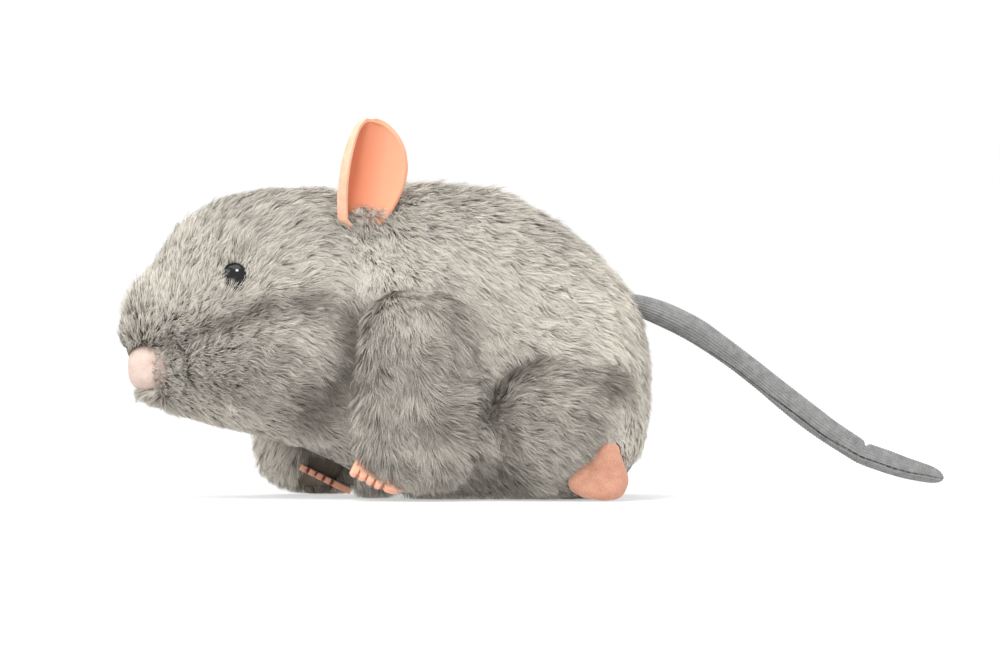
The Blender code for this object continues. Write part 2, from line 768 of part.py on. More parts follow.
def tube_loft(points, inset=0.0, flatness=1.0, sides=12):
    """A tube along a line in the XZ plane, each point with its own radius; flatness narrows it sideways."""
    sections = []
    for i, (x, z, radius) in enumerate(points):
        before = points[max(i - 1, 0)]
        after = points[min(i + 1, len(points) - 1)]
        along = Vector((after[0] - before[0], 0, after[1] - before[1])).normalized()
        across = Vector((0, 1, 0))
        up = along.cross(across)
        ring = []
        for k in range(sides):
            turn = 2 * math.pi * k / sides
            offset = across * math.cos(turn) * flatness + up * math.sin(turn)
            ring.append(Vector((x, 0, z)) + offset * (radius - inset))
        sections.append(ring)
    return loft(sections)


def tail():
    """The knitted tail: a stuffed sleeve that swings at the rump, and the empty tip beyond."""
    root_x, root_z, root_radius = TAIL_POINTS[0]
    root = pivot("tail_root", root_x, 0, root_z)
    kink_x, kink_z, _ = TAIL_TIP_POINTS[0]
    kink = pivot("tail_kink", kink_x, 0, kink_z)

    def moved(points, origin):
        return [(x - origin[0], z - origin[1], radius) for x, z, radius in points]

    rounded = []
    slope = Vector((TAIL_POINTS[1][0] - root_x, TAIL_POINTS[1][1] - root_z)).normalized()
    for turn in (75, 50, 25):
        back = root_radius * math.sin(math.radians(turn))
        radius = root_radius * math.cos(math.radians(turn))
        rounded.append((root_x - slope.x * back, root_z - slope.y * back, radius))
    outer = moved([*rounded, *TAIL_POINTS], (root_x, root_z))
    inner = moved(TAIL_POINTS, (root_x, root_z))
    inner[0] = (inner[0][0] - 8 * slope.x, inner[0][1] - 8 * slope.y, 2.4)
    sleeve = mesh_piece("tail_sleeve", tube_loft(outer), "tail_knit", (0, 0, 0), root, smooth=60)
    hollow_points = inner[:-1] + [(inner[-1][0] - 2.0, inner[-1][1] + 1.3, inner[-1][2])]
    hollow = mesh_piece(
        "tail_hollow", tube_loft(hollow_points, TAIL_WALL, sides=12), None, (root_x, 0, root_z)
    )
    boolean(sleeve, hollow)
    fill_points = inner[1:-1]
    mesh_piece(
        "tail_filling",
        tube_loft(fill_points, TAIL_WALL + GAP, sides=12),
        "stuffing",
        (0, 0, 0),
        root,
        smooth=60,
    )
    tip_points = moved(TAIL_TIP_POINTS, (kink_x, kink_z))
    mesh_piece(
        "tail_tip", tube_loft(tip_points, flatness=TIP_FLATNESS), "tail_knit", (0, 0, 0), kink, smooth=60
    )


# ---------------------------------------------------------------- drive

def train_centres():
    """Where each arbor stands, stepping up from the drive axle by the gears' centre distances."""
    wheel_step = MODULE * (WHEEL_TEETH + PINION_TEETH) / 2
    barrel_step = MODULE * (BARREL_TEETH + PINION_TEETH) / 2

    def step(start, distance, lean):
        turn = math.radians(lean)
        return (start[0] + distance * math.sin(turn), start[1] + distance * math.cos(turn))

    axle = (AXLE_X, TYRE_RADIUS)
    third = step(axle, wheel_step, LEANS["third"])
    second = step(third, wheel_step, LEANS["second"])
    barrel = step(second, barrel_step, LEANS["barrel"])
    return {"axle": axle, "third": third, "second": second, "barrel": barrel}


def meshing_phase(teeth, own, other, other_teeth, other_phase):
    """The phase that puts a gear's tooth gap where the other gear's tooth points at it."""
    bearing = math.atan2(own[1] - other[1], own[0] - other[0])
    other_pitch = 2 * math.pi / other_teeth
    past_tooth = (bearing / other_pitch - other_phase) % 1.0
    back = bearing + math.pi
    return (back / (2 * math.pi / teeth) + past_tooth + 0.5) % 1.0


def tray():
    """The moulded base, with slots for the wheels and the plates' tabs, and the roller's cheeks."""
    top = TRAY_BOTTOM + TRAY_THICKNESS
    base = box(
        "chassis_tray",
        (TRAY_FRONT, -TRAY_HALF_WIDTH, TRAY_BOTTOM),
        (TRAY_REAR, TRAY_HALF_WIDTH, top),
        "chassis_plastic",
        bevel=0.8,
    )
    for side in (-1, 1):
        inner, outer = 5.6, 8.6
        low, high = sorted((side * inner, side * outer))
        cheek = box(
            f"cheek_{side}",
            (ROLLER_X - 3.5, low, TRAY_BOTTOM + 0.9),
            (ROLLER_X + 3.5, high, ROLLER_RADIUS + 3.5),
        )
        boolean(base, cheek, "UNION")
        slot_low, slot_high = sorted((side * (WHEEL_Y - 3.6), side * (WHEEL_Y + 3.6)))
        slot = box(
            f"wheel_slot_{side}",
            (AXLE_X - TYRE_RADIUS - 0.5, slot_low, 0),
            (AXLE_X + TYRE_RADIUS + 0.5, slot_high, 10),
        )
        boolean(base, slot)
        middle = side * (PLATE_INNER_Y + PLATE_THICKNESS / 2)
        half = PLATE_THICKNESS / 2 + 0.3
        for i, x in enumerate(TAB_X):
            tab = box(
                f"tab_slot_{side}_{i}",
                (x - TAB_LENGTH / 2 - 0.3, middle - half, 0),
                (x + TAB_LENGTH / 2 + 0.3, middle + half, 10),
            )
            boolean(base, tab)
    reach = ROLLER_RADIUS + 0.7
    well = box("roller_slot", (ROLLER_X - reach, -5.2, 0), (ROLLER_X + reach, 5.2, 10))
    boolean(base, well)
    bore = rod(
        "roller_bore",
        (ROLLER_X, -12, ROLLER_RADIUS),
        (ROLLER_X, 12, ROLLER_RADIUS),
        ROLLER_PIN_RADIUS + SHAFT_GAP,
    )
    boolean(base, bore)


def motor_plate(side, label, train):
    """A stamped side plate with pivot holes, and two tabs that pass down through the tray."""
    low = TRAY_BOTTOM + TRAY_THICKNESS + GAP
    tab_low = TRAY_BOTTOM + 0.4
    corner, relief = 5.0, 0.8
    outline = [(PLATE_FRONT, low)]
    for x in TAB_X:
        left, right = x - TAB_LENGTH / 2, x + TAB_LENGTH / 2
        outline.extend([(left - relief, low), (left, low + relief), (left, tab_low)])
        outline.extend([(right, tab_low), (right, low + relief), (right + relief, low)])
    outline.append((PLATE_REAR, low))
    for cx, cz, start in (
        (PLATE_REAR - corner, PLATE_TOP - corner, 0),
        (PLATE_FRONT + corner, PLATE_TOP - corner, 90),
    ):
        for i in range(4):
            turn = math.radians(start + 30 * i)
            outline.append((cx + corner * math.cos(turn), cz + corner * math.sin(turn)))
    middle = side * (PLATE_INNER_Y + PLATE_THICKNESS / 2)
    bm = prism(outline, PLATE_THICKNESS)
    bmesh.ops.rotate(bm, cent=(0, 0, 0), matrix=Matrix.Rotation(math.pi / 2, 3, "X"), verts=bm.verts)
    bmesh.ops.translate(bm, vec=(0, middle, 0), verts=bm.verts)
    plate = mesh_piece("motor_plate_" + label, bm, "steel")
    holes = [(*train["axle"], AXLE_RADIUS), (*train["barrel"], WINDER_RADIUS)]
    holes.extend([(*train["third"], ARBOR_RADIUS), (*train["second"], ARBOR_RADIUS)])
    holes.extend([(x, z, RIVET_RADIUS) for x, z in PILLARS.values()])
    for i, (x, z, radius) in enumerate(holes):
        start, end = (x, middle - 3, z), (x, middle + 3, z)
        boolean(plate, rod(f"plate_hole_{label}_{i}", start, end, radius + SHAFT_GAP, sides=12))
    if side < 0:
        return
    x = train["barrel"][0] + CLICK_PIVOT[0]
    z = train["barrel"][1] + CLICK_PIVOT[1]
    outer = RATCHET_Y + RATCHET_THICKNESS / 2 + 0.5
    stud = rod("click_stud", (x, PLATE_INNER_Y + 0.4, z), (x, outer, z), 1.0)
    boolean(plate, stud, "UNION")
    post = rod("click_spring_post", (x - 0.5, PLATE_INNER_Y + 0.4, z - 15), (x - 0.5, outer, z - 15), 1.0)
    boolean(plate, post, "UNION")


def pillars():
    """Spacers between the plates, with rivet ends in the plates' holes."""
    between = PLATE_INNER_Y - GAP
    end = PLATE_INNER_Y + PLATE_THICKNESS + 0.4
    for name, (x, z) in PILLARS.items():
        profile = [
            (0.0, end),
            (RIVET_RADIUS, end),
            (RIVET_RADIUS, between),
            (PILLAR_RADIUS, between),
            (PILLAR_RADIUS, -between),
            (RIVET_RADIUS, -between),
            (RIVET_RADIUS, -end),
            (0.0, -end),
        ]
        turned(name, profile, (x, 0, z), "steel", steps=10)


def arbor(name, centre, radius, low, high, finish, parent, pinion=None):
    """A shaft along Y, with a pinion cut on it where one is given as (y, thickness, phase)."""
    shaft = rod(name, (0, low, 0), (0, high, 0), radius, finish, parent, sides=14)
    if pinion:
        at, thickness, phase = pinion
        outline = gear_outline(PINION_TEETH, phase)
        x, z = centre
        leaves = meshed(flat(name + "_leaves", [outline], thickness, (x, at, z), None))
        boolean(shaft, leaves, "UNION")
    return shaft


def wheel_gear(name, teeth, phase, y, thickness, bore, finish, parent):
    outlines = [gear_outline(teeth, phase), circle(bore, 20)]
    return flat(name, outlines, thickness, (0, y, 0), finish, parent)


def gear_train(train):
    """The three reduction stages between the spring barrel and the drive axle."""
    spots = {name: pivot(name + "_axis", x, 0, z) for name, (x, z) in train.items()}
    layer = {"axle": 10.0, "third": 5.4, "second": -8.0}
    thick, pinion_thick = 2.0, 2.6
    end = PLATE_INNER_Y + PLATE_THICKNESS + 0.4

    axle_phase = 0.0
    third_phase = meshing_phase(
        WHEEL_TEETH, train["third"], train["axle"], PINION_TEETH, axle_phase
    )
    third_pinion = 0.25
    second_phase = meshing_phase(
        WHEEL_TEETH, train["second"], train["third"], PINION_TEETH, third_pinion
    )
    second_pinion = 0.1
    barrel_phase = meshing_phase(
        BARREL_TEETH, train["barrel"], train["second"], PINION_TEETH, second_pinion
    )

    outlines = [gear_outline(PINION_TEETH, axle_phase), circle(AXLE_RADIUS + SHAFT_GAP, 20)]
    flat("drive_pinion", outlines, pinion_thick, (0, layer["axle"], 0), "brass", spots["axle"])
    wheel_gear(
        "third_wheel",
        WHEEL_TEETH,
        third_phase,
        layer["axle"],
        thick,
        ARBOR_RADIUS + SHAFT_GAP,
        "brass",
        spots["third"],
    )
    arbor(
        "third_arbor",
        train["third"],
        ARBOR_RADIUS,
        -end,
        end,
        "steel",
        spots["third"],
        (layer["third"], pinion_thick, third_pinion),
    )
    wheel_gear(
        "second_wheel",
        WHEEL_TEETH,
        second_phase,
        layer["third"],
        thick,
        ARBOR_RADIUS + SHAFT_GAP,
        "brass",
        spots["second"],
    )
    arbor(
        "second_arbor",
        train["second"],
        ARBOR_RADIUS,
        -end,
        end,
        "steel",
        spots["second"],
        (layer["second"], pinion_thick, second_pinion),
    )
    barrel(spots["barrel"], barrel_phase)
    drive_wheels(spots["axle"])
    winding(spots["barrel"], train["barrel"])


def barrel(parent, phase):
    """The toothed drum, its snap-in cover, and the mainspring coiled inside it."""
    low, high = DRUM_Y
    bore = WINDER_RADIUS + SHAFT_GAP
    outlines = [gear_outline(BARREL_TEETH, phase), circle(bore, 20)]
    rim = flat(
        "spring_barrel", outlines, RIM_THICKNESS, (0, low + RIM_THICKNESS / 2, 0), "brass", parent
    )
    rim = meshed(rim)
    inner = DRUM_RADIUS - DRUM_WALL
    x, z = parent.location.x / MM, parent.location.z / MM
    wall = ring_profile(inner, DRUM_RADIUS, low + RIM_THICKNESS - 0.5, high)
    boolean(rim, turned("drum_wall", wall, (x, 0, z), None, steps=24), "UNION")
    cover_thickness = 0.8
    cover = ring_profile(bore, inner - 0.3, high - cover_thickness - 0.2, high - 0.2)
    turned("barrel_cover", cover, (0, 0, 0), "brass", parent, steps=20)

    strip, start, end = 0.45, WINDER_RADIUS + 0.7, inner - 0.5
    steps = 12 * TURNS_OF_SPRING
    outer_side, inner_side = [], []
    for i in range(steps + 1):
        share = i / steps
        radius = start + (end - start - strip) * share
        turn = 2 * math.pi * TURNS_OF_SPRING * share
        inner_side.append((radius * math.cos(turn), radius * math.sin(turn)))
        outer_side.append(((radius + strip) * math.cos(turn), (radius + strip) * math.sin(turn)))
    outline = inner_side + outer_side[::-1]
    spring_low, spring_high = low + RIM_THICKNESS + 0.5, high - cover_thickness - 0.7
    middle = (spring_low + spring_high) / 2
    flat("mainspring", [outline], spring_high - spring_low, (0, middle, 0), "steel", parent)


def drive_wheels(parent):
    """The axle with a hubbed wheel and a rubber tyre on each end."""
    end = WHEEL_Y + WHEEL_WIDTH / 2 + 0.8
    arbor("drive_axle", (0, 0), AXLE_RADIUS, -end, end, "steel", parent)
    bore, half = AXLE_RADIUS + SHAFT_GAP, WHEEL_WIDTH / 2
    for side, label in ((-1, "left"), (1, "right")):
        at = side * WHEEL_Y
        wheel = [
            (WHEEL_RADIUS, half),
            (WHEEL_RADIUS, -half),
            (WHEEL_RADIUS - 1.2, -half),
            (3.2, -0.7),
            (bore, -half),
            (bore, half),
            (3.2, 0.7),
            (WHEEL_RADIUS - 1.2, half),
            (WHEEL_RADIUS, half),
        ]
        turned("wheel_" + label, wheel, (0, at, 0), "wheel_plastic", parent, steps=16)
        half_tyre = TYRE_WIDTH / 2
        inner = WHEEL_RADIUS + 0.3
        tyre = [
            (inner, half_tyre),
            (TYRE_RADIUS - 0.7, half_tyre),
            (TYRE_RADIUS, half_tyre - 0.9),
            (TYRE_RADIUS, -half_tyre + 0.9),
            (TYRE_RADIUS - 0.7, -half_tyre),
            (inner, -half_tyre),
            (inner, half_tyre),
        ]
        turned("tyre_" + label, tyre, (0, at, 0), "rubber", parent, steps=24)


def winding(parent, centre):
    """The winding arbor with its ratchet and click, and the two-winged key outside the fur."""
    end = PLATE_INNER_Y + PLATE_THICKNESS + 0.6
    low, high = KEY_STEM_Y
    rod("winding_arbor", (0, -end, 0), (0, high - 2.0, 0), WINDER_RADIUS, "steel", parent)
    teeth = []
    for i in range(RATCHET_TEETH):
        turn = 2 * math.pi * i / RATCHET_TEETH
        slope = 2 * math.pi / RATCHET_TEETH * 0.94
        teeth.append(((RATCHET_RADIUS - 1.2) * math.cos(turn), (RATCHET_RADIUS - 1.2) * math.sin(turn)))
        teeth.append((RATCHET_RADIUS * math.cos(turn + slope), RATCHET_RADIUS * math.sin(turn + slope)))
    flat(
        "ratchet_wheel",
        [teeth, circle(WINDER_RADIUS + SHAFT_GAP, 20)],
        RATCHET_THICKNESS,
        (0, RATCHET_Y, 0),
        "steel",
        parent,
    )
    click(centre)
    stem = turned(
        "winding_key",
        ring_profile(WINDER_RADIUS + SHAFT_GAP, KEY_STEM_RADIUS, low, high),
        (0, 0, 0),
        "steel",
        parent,
    )
    x, z = centre
    cap = rod("key_cap", (x, high - 1.0, z), (x, high + 1.5, z), KEY_STEM_RADIUS - 0.1)
    boolean(stem, cap, "UNION")
    radius = (KEY_TIP_Y - high - 0.5) / 2 + 0.6
    for side in (-1, 1):
        loop = bmesh.new()
        bmesh.ops.create_cone(
            loop, cap_ends=True, segments=18, radius1=radius, radius2=radius, depth=KEY_THICKNESS
        )
        at = Vector((x, KEY_TIP_Y - radius, z + side * (KEY_HALF_WIDTH - radius)))
        upright = Matrix.Translation(at) @ Matrix.Rotation(math.pi / 2, 4, "Y")
        bmesh.ops.transform(loop, matrix=upright, verts=loop.verts)
        boolean(stem, mesh_piece(f"key_wing_{side}", loop, None), "UNION")
    bridge = box(
        "key_bridge",
        (x - KEY_THICKNESS / 2, high - 1.5, z - KEY_HALF_WIDTH + radius),
        (x + KEY_THICKNESS / 2, KEY_TIP_Y - 2.2, z + KEY_HALF_WIDTH - radius),
    )
    boolean(stem, bridge, "UNION")
    for side in (-1, 1):
        at = z + side * (KEY_HALF_WIDTH - radius - 0.4)
        middle = KEY_TIP_Y - radius
        hole = rod(f"key_eye_{side}", (x - 5, middle, at), (x + 5, middle, at), radius - 1.9)
        boolean(stem, hole)


def click(centre):
    """The pawl on the right-hand plate and the bent wire that presses it to the ratchet."""
    x, z = centre[0] + CLICK_PIVOT[0], centre[1] + CLICK_PIVOT[1]
    hinge = pivot("click_axis", x, RATCHET_Y, z)
    eye_radius = 2.2
    outline = [(eye_radius * math.cos(a), eye_radius * math.sin(a)) for a in (-2.4, -1.2, -0.2, 0.8)]
    outline.extend([(-1.6, 5.2), (-4.6, 9.0), (-5.4, 8.4), (-3.7, 5.2), (-2.2, 0.6)])
    flat(
        "click_pawl",
        [outline, circle(1.0 + SHAFT_GAP, 12)],
        RATCHET_THICKNESS,
        (0, 0, 0),
        "steel",
        hinge,
    )
    wire = bpy.data.curves.new("click_spring", "CURVE")
    wire.dimensions = "3D"
    wire.bevel_depth = 0.35 * MM
    wire.bevel_resolution = 2
    wire.use_fill_caps = True
    spline = wire.splines.new("POLY")
    route = [(-0.9, 6.6), (1.8, 4.6), (3.7, 1.0), (4.3, -5.0), (3.3, -11.0), (0.9, -16.4)]
    spline.points.add(len(route) - 1)
    for point, (dx, dz) in zip(spline.points, route):
        point.co = ((x + dx) * MM, RATCHET_Y * MM, (z + dz) * MM, 1.0)
    place(bpy.data.objects.new("click_spring", wire), "steel", None)


def roller():
    """The small front roller and the pin that it turns on."""
    spot = pivot("roller_axis", ROLLER_X, 0, ROLLER_RADIUS)
    bore, half = ROLLER_PIN_RADIUS + SHAFT_GAP, ROLLER_WIDTH / 2
    profile = [
        (bore, half),
        (ROLLER_RADIUS - 0.8, half),
        (ROLLER_RADIUS, half - 0.9),
        (ROLLER_RADIUS, -half + 0.9),
        (ROLLER_RADIUS - 0.8, -half),
        (bore, -half),
        (bore, half),
    ]
    turned("front_roller", profile, (0, 0, 0), "wheel_plastic", spot, steps=20)
    rod(
        "roller_pin",
        (ROLLER_X, -9.2, ROLLER_RADIUS),
        (ROLLER_X, 9.2, ROLLER_RADIUS),
        ROLLER_PIN_RADIUS,
        "steel",
    )


def key_eyelet(panel, train):
    """A brass eyelet that lines the hole where the key's stem leaves the fur."""
    x, z = train["barrel"]
    surface = body_side(x, z)
    inner = KEY_STEM_RADIUS + 0.5
    neck, flange = inner + 0.8, inner + 2.4
    low, seat, top = surface - 3.0, surface + 1.5, surface + 2.2
    profile = [
        (inner, top),
        (flange, top),
        (flange, seat),
        (neck, seat),
        (neck, low),
        (inner, low),
        (inner, top),
    ]
    turned("key_eyelet", profile, (x, 0, z), "brass", steps=16)
    hole = rod("key_hole", (x, surface - 8, z), (x, surface + 8, z), neck + GAP)
    boolean(panel, hole)


def belly_opening(panel):
    opening = box(
        "belly_opening",
        (TRAY_FRONT - GAP, -TRAY_HALF_WIDTH - GAP, -6),
        (TRAY_REAR + GAP, TRAY_HALF_WIDTH + GAP, TRAY_BOTTOM + TRAY_THICKNESS + 6),
    )
    boolean(panel, opening)


clear_scene()
PIECES = new_collection("clockwork_mouse")
CUTTERS = new_collection("cutters")
MOUSE = bpy.data.objects.new("mouse", None)
PIECES.objects.link(MOUSE)

centres = train_centres()
skins = body_panels()
filling = stuffing(centres)
body_outside = mesh_piece("body_outside", body_loft(-GAP), None)
for direction, name in ((-1, "left"), (1, "right")):
    eye(direction, name, skins["head_fur_" + name], filling)
    ear(direction, name)
    foreleg(direction, name)
    haunch(direction, name, body_outside)
    motor_plate(direction, name, centres)
nose([skins["jaw_fur"], skins["head_fur_left"], skins["head_fur_right"], filling])
tail()
tray()
pillars()
gear_train(centres)
roller()
key_eyelet(skins["back_fur_right"], centres)
belly_opening(skins["belly_fur"])
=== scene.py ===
"""Looks of the clockwork mouse: plush, felt, knit and motor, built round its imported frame."""

import json
import math

import bmesh
import bpy
import numpy as np
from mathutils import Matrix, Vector
from mathutils.kdtree import KDTree

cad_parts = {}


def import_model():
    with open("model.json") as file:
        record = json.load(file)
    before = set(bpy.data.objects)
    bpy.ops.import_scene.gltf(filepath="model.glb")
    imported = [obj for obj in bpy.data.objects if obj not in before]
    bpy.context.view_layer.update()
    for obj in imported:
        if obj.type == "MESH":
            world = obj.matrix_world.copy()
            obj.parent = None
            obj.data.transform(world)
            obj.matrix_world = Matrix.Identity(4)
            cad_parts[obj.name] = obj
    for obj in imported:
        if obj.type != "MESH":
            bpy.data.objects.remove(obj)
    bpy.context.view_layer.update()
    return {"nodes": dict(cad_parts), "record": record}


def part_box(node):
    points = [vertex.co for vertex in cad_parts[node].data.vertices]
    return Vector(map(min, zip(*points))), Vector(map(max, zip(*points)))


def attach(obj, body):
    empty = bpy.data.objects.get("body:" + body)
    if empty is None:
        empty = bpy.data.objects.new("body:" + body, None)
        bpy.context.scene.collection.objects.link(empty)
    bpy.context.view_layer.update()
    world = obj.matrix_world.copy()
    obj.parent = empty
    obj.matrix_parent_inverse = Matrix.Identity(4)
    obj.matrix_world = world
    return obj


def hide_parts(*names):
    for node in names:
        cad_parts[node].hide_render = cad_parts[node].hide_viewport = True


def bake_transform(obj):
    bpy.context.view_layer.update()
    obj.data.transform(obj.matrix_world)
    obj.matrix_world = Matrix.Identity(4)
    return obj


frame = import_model()

MM = 0.001
NODES = frame["nodes"]
BODIES = frame["record"]["behaviour"]["bodies"]
BODY_OF = {node: body for body, members in BODIES.items() for node in members}


def box_mm(node):
    """Lowest and highest corner of a CAD node, in millimetres."""
    low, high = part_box(node)
    return np.array(low) / MM, np.array(high) / MM


# ---------------------------------------------------------------- numbers and noise

def smooth_line(xs, ys, x):
    """A curve through the points (xs, ys) that doesn't overshoot, read at x."""
    xs, ys = np.asarray(xs, float), np.asarray(ys, float)
    step = np.diff(xs)
    slope = np.diff(ys) / step
    tangent = np.zeros_like(ys)
    same_way = slope[:-1] * slope[1:] > 0
    mean = 2 * slope[:-1] * slope[1:] / np.where(same_way, slope[:-1] + slope[1:], 1.0)
    tangent[1:-1] = np.where(same_way, mean, 0.0)
    tangent[0], tangent[-1] = slope[0], slope[-1]
    i = np.clip(np.searchsorted(xs, x) - 1, 0, len(step) - 1)
    t = np.clip((x - xs[i]) / step[i], 0, 1)
    a, b = 2 * t**3 - 3 * t**2 + 1, t**3 - 2 * t**2 + t
    c, d = -2 * t**3 + 3 * t**2, t**3 - t**2
    return a * ys[i] + b * step[i] * tangent[i] + c * ys[i + 1] + d * step[i] * tangent[i + 1]


def waves(points, size, seed, count=7):
    """Smooth noise from -1 to 1 over points in millimetres, with hills about size apart."""
    rng = np.random.default_rng(seed)
    total = np.zeros(len(points))
    for _ in range(count):
        way = rng.normal(size=3)
        way *= 2 * math.pi / (size * rng.uniform(0.7, 1.5)) / np.linalg.norm(way)
        total += np.sin(points @ way + rng.uniform(0, 2 * math.pi))
    return np.clip(total / math.sqrt(count) * 0.8, -1, 1)


def unit(vectors):
    return vectors / np.maximum(np.linalg.norm(vectors, axis=-1, keepdims=True), 1e-9)


def signed_power(value, power):
    return np.sign(value) * np.abs(value) ** power


def fade(values, start, end):
    """0 at start and 1 at end, straight between them and level beyond."""
    return np.clip((values - start) / (end - start), 0, 1)


def hill(points, centre, size, power=1.0):
    """A smooth hill of height 1 over the XZ plane."""
    spot = ((points[:, 0] - centre[0]) / size[0]) ** 2 + ((points[:, 2] - centre[1]) / size[1]) ** 2
    return np.exp(-(spot**power))


def full_turn(count):
    """Angles all the way round, evenly spaced, without the last one that meets the first."""
    return np.linspace(0, 2 * math.pi, count, endpoint=False)


def turned_by(vectors, axes, angles):
    """Vectors turned about unit axes by angles in radians, row by row."""
    c, s = np.cos(angles)[:, None], np.sin(angles)[:, None]
    along = (axes * vectors).sum(1, keepdims=True)
    return vectors * c + np.cross(axes, vectors) * s + axes * along * (1 - c)


def line_distance(points, line):
    """Distance in the XZ plane from each point to a broken line."""
    flat_points = points[:, [0, 2]]
    line = np.asarray(line, float)
    least = np.full(len(points), 1e9)
    for a, b in zip(line, line[1:]):
        ab = b - a
        t = np.clip(((flat_points - a) @ ab) / (ab @ ab), 0, 1)
        least = np.minimum(least, np.linalg.norm(flat_points - a - t[:, None] * ab, axis=1))
    return least


# ---------------------------------------------------------------- materials

class Nodes:
    """A short way to write a node tree."""

    def __init__(self, name):
        self.material = bpy.data.materials.new(name)
        self.material.use_nodes = True
        self.tree = self.material.node_tree
        self.shader = self.tree.nodes["Principled BSDF"]

    def add(self, kind, inputs=None, **settings):
        node = self.tree.nodes.new(kind)
        for key, value in settings.items():
            setattr(node, key, value)
        for key, value in (inputs or {}).items():
            if isinstance(value, bpy.types.NodeSocket):
                self.tree.links.new(value, node.inputs[key])
            else:
                node.inputs[key].default_value = value
        return node

    def set(self, **values):
        for key, value in values.items():
            socket = self.shader.inputs[key.replace("_", " ")]
            if isinstance(value, bpy.types.NodeSocket):
                self.tree.links.new(value, socket)
            else:
                socket.default_value = value
        return self.material

    def ramp(self, factor, stops):
        node = self.add("ShaderNodeValToRGB", {"Fac": factor})
        ramp = node.color_ramp
        while len(ramp.elements) < len(stops):
            ramp.elements.new(0.5)
        for element, (at, colour) in zip(ramp.elements, stops):
            element.position = at
            element.color = (*colour, 1.0)
        return node.outputs["Color"]

    def noise(self, scale, detail=3.0, roughness=0.55, stretch=None):
        place = self.add("ShaderNodeTexCoord").outputs["Object"]
        if stretch:
            place = self.add("ShaderNodeMapping", {"Vector": place, "Scale": stretch}).outputs[0]
        inputs = {"Vector": place, "Scale": scale, "Detail": detail, "Roughness": roughness}
        return self.add("ShaderNodeTexNoise", inputs).outputs["Fac"]

    def bump(self, height, depth):
        inputs = {"Height": height, "Distance": depth * MM, "Strength": 1.0}
        return self.add("ShaderNodeBump", inputs).outputs["Normal"]


def srgb(*rgb):
    """Linear colour of an 8-bit one."""
    shares = [value / 255 for value in rgb]
    return tuple(c / 12.92 if c <= 0.04045 else ((c + 0.055) / 1.055) ** 2.4 for c in shares)


def pile_material(name, root, middle, tip, dark, light):
    """Fur: strand tone is U of the strand map, and root to tip is V."""
    n = Nodes(name)
    place = n.add("ShaderNodeUVMap", uv_map="OFBake").outputs["UV"]
    split = n.add("ShaderNodeSeparateXYZ", {"Vector": place})
    along = n.ramp(split.outputs["Y"], [(0.0, root), (0.42, middle), (1.0, tip)])
    tone = n.ramp(split.outputs["X"], [(0.0, dark), (0.5, (1.0, 1.0, 1.0)), (1.0, light)])
    mixed = n.add("ShaderNodeMix", data_type="RGBA", blend_type="MULTIPLY")
    mixed.inputs[0].default_value = 1.0
    n.tree.links.new(along, mixed.inputs[6])
    n.tree.links.new(tone, mixed.inputs[7])
    return n.set(Base_Color=mixed.outputs[2], Roughness=0.62, Specular_IOR_Level=0.35)


def cloth_material(name, dark, light, scale, depth, roughness=0.9, sheen=0.0):
    """Matted fibre: colour and height from two sizes of noise."""
    n = Nodes(name)
    blotch = n.noise(scale * 0.12, 4.0)
    fibre = n.noise(scale, 5.0, 0.7)
    mixed = n.add("ShaderNodeMath", {0: blotch, 1: fibre}, operation="ADD").outputs[0]
    half = n.add("ShaderNodeMath", {0: mixed, 1: 0.5}, operation="MULTIPLY").outputs[0]
    colour = n.ramp(half, [(0.36, dark), (0.64, light)])
    rough = n.add("ShaderNodeMapRange", {"Value": fibre, "To Min": roughness - 0.08, "To Max": roughness})
    return n.set(
        Base_Color=colour,
        Roughness=rough.outputs[0],
        Normal=n.bump(fibre, depth),
        Sheen_Weight=sheen,
        Sheen_Roughness=0.5,
    )


EAR_LEAN = 0.16                     # the ear's lean forward for each unit of height
EAR_HOLLOW = (-0.0795, -0.0685)     # in metres along that lean, from the deep hollow to the open felt


def ear_material(name, deep, open_felt):
    """The felt of the ear, darkened by painted shade in the hollow behind its folded edge."""
    n = Nodes(name)
    place = n.add("ShaderNodeTexCoord").outputs["Object"]
    lean = n.add("ShaderNodeVectorMath", {0: place, 1: (1.0, 0.0, -EAR_LEAN)}, operation="DOT_PRODUCT")
    reach = {"Value": lean.outputs["Value"], "From Min": EAR_HOLLOW[0], "From Max": EAR_HOLLOW[1]}
    share = n.add("ShaderNodeMapRange", reach).outputs[0]
    fibre = n.noise(2600.0, 5.0, 0.7)
    wool_share = 0.16
    wool = n.add("ShaderNodeMath", {0: fibre, 1: wool_share}, operation="MULTIPLY").outputs[0]
    mixed = n.add("ShaderNodeMath", {0: share, 1: wool}, operation="ADD").outputs[0]
    # Painted shade: the colour darkens towards the hollow.
    colour = n.ramp(mixed, [(0.05, deep), (1.0, open_felt)])
    return n.set(
        Base_Color=colour, Roughness=0.9, Normal=n.bump(fibre, 0.07), Sheen_Weight=0.25, Sheen_Roughness=0.5
    )


def hard_material(name, dark, light, roughness, metallic, scale, stretch, depth, spread=0.12):
    """Moulded plastic or worked metal: fine marks in height, gloss and colour."""
    n = Nodes(name)
    marks = n.noise(scale, 4.0, 0.6, stretch)
    wear = n.noise(60.0, 3.0)
    colour = n.ramp(wear, [(0.35, dark), (0.65, light)])
    low, high = roughness - spread / 2, roughness + spread / 2
    rough = n.add("ShaderNodeMapRange", {"Value": marks, "To Min": low, "To Max": high}).outputs[0]
    return n.set(Base_Color=colour, Roughness=rough, Metallic=metallic, Normal=n.bump(marks, depth))


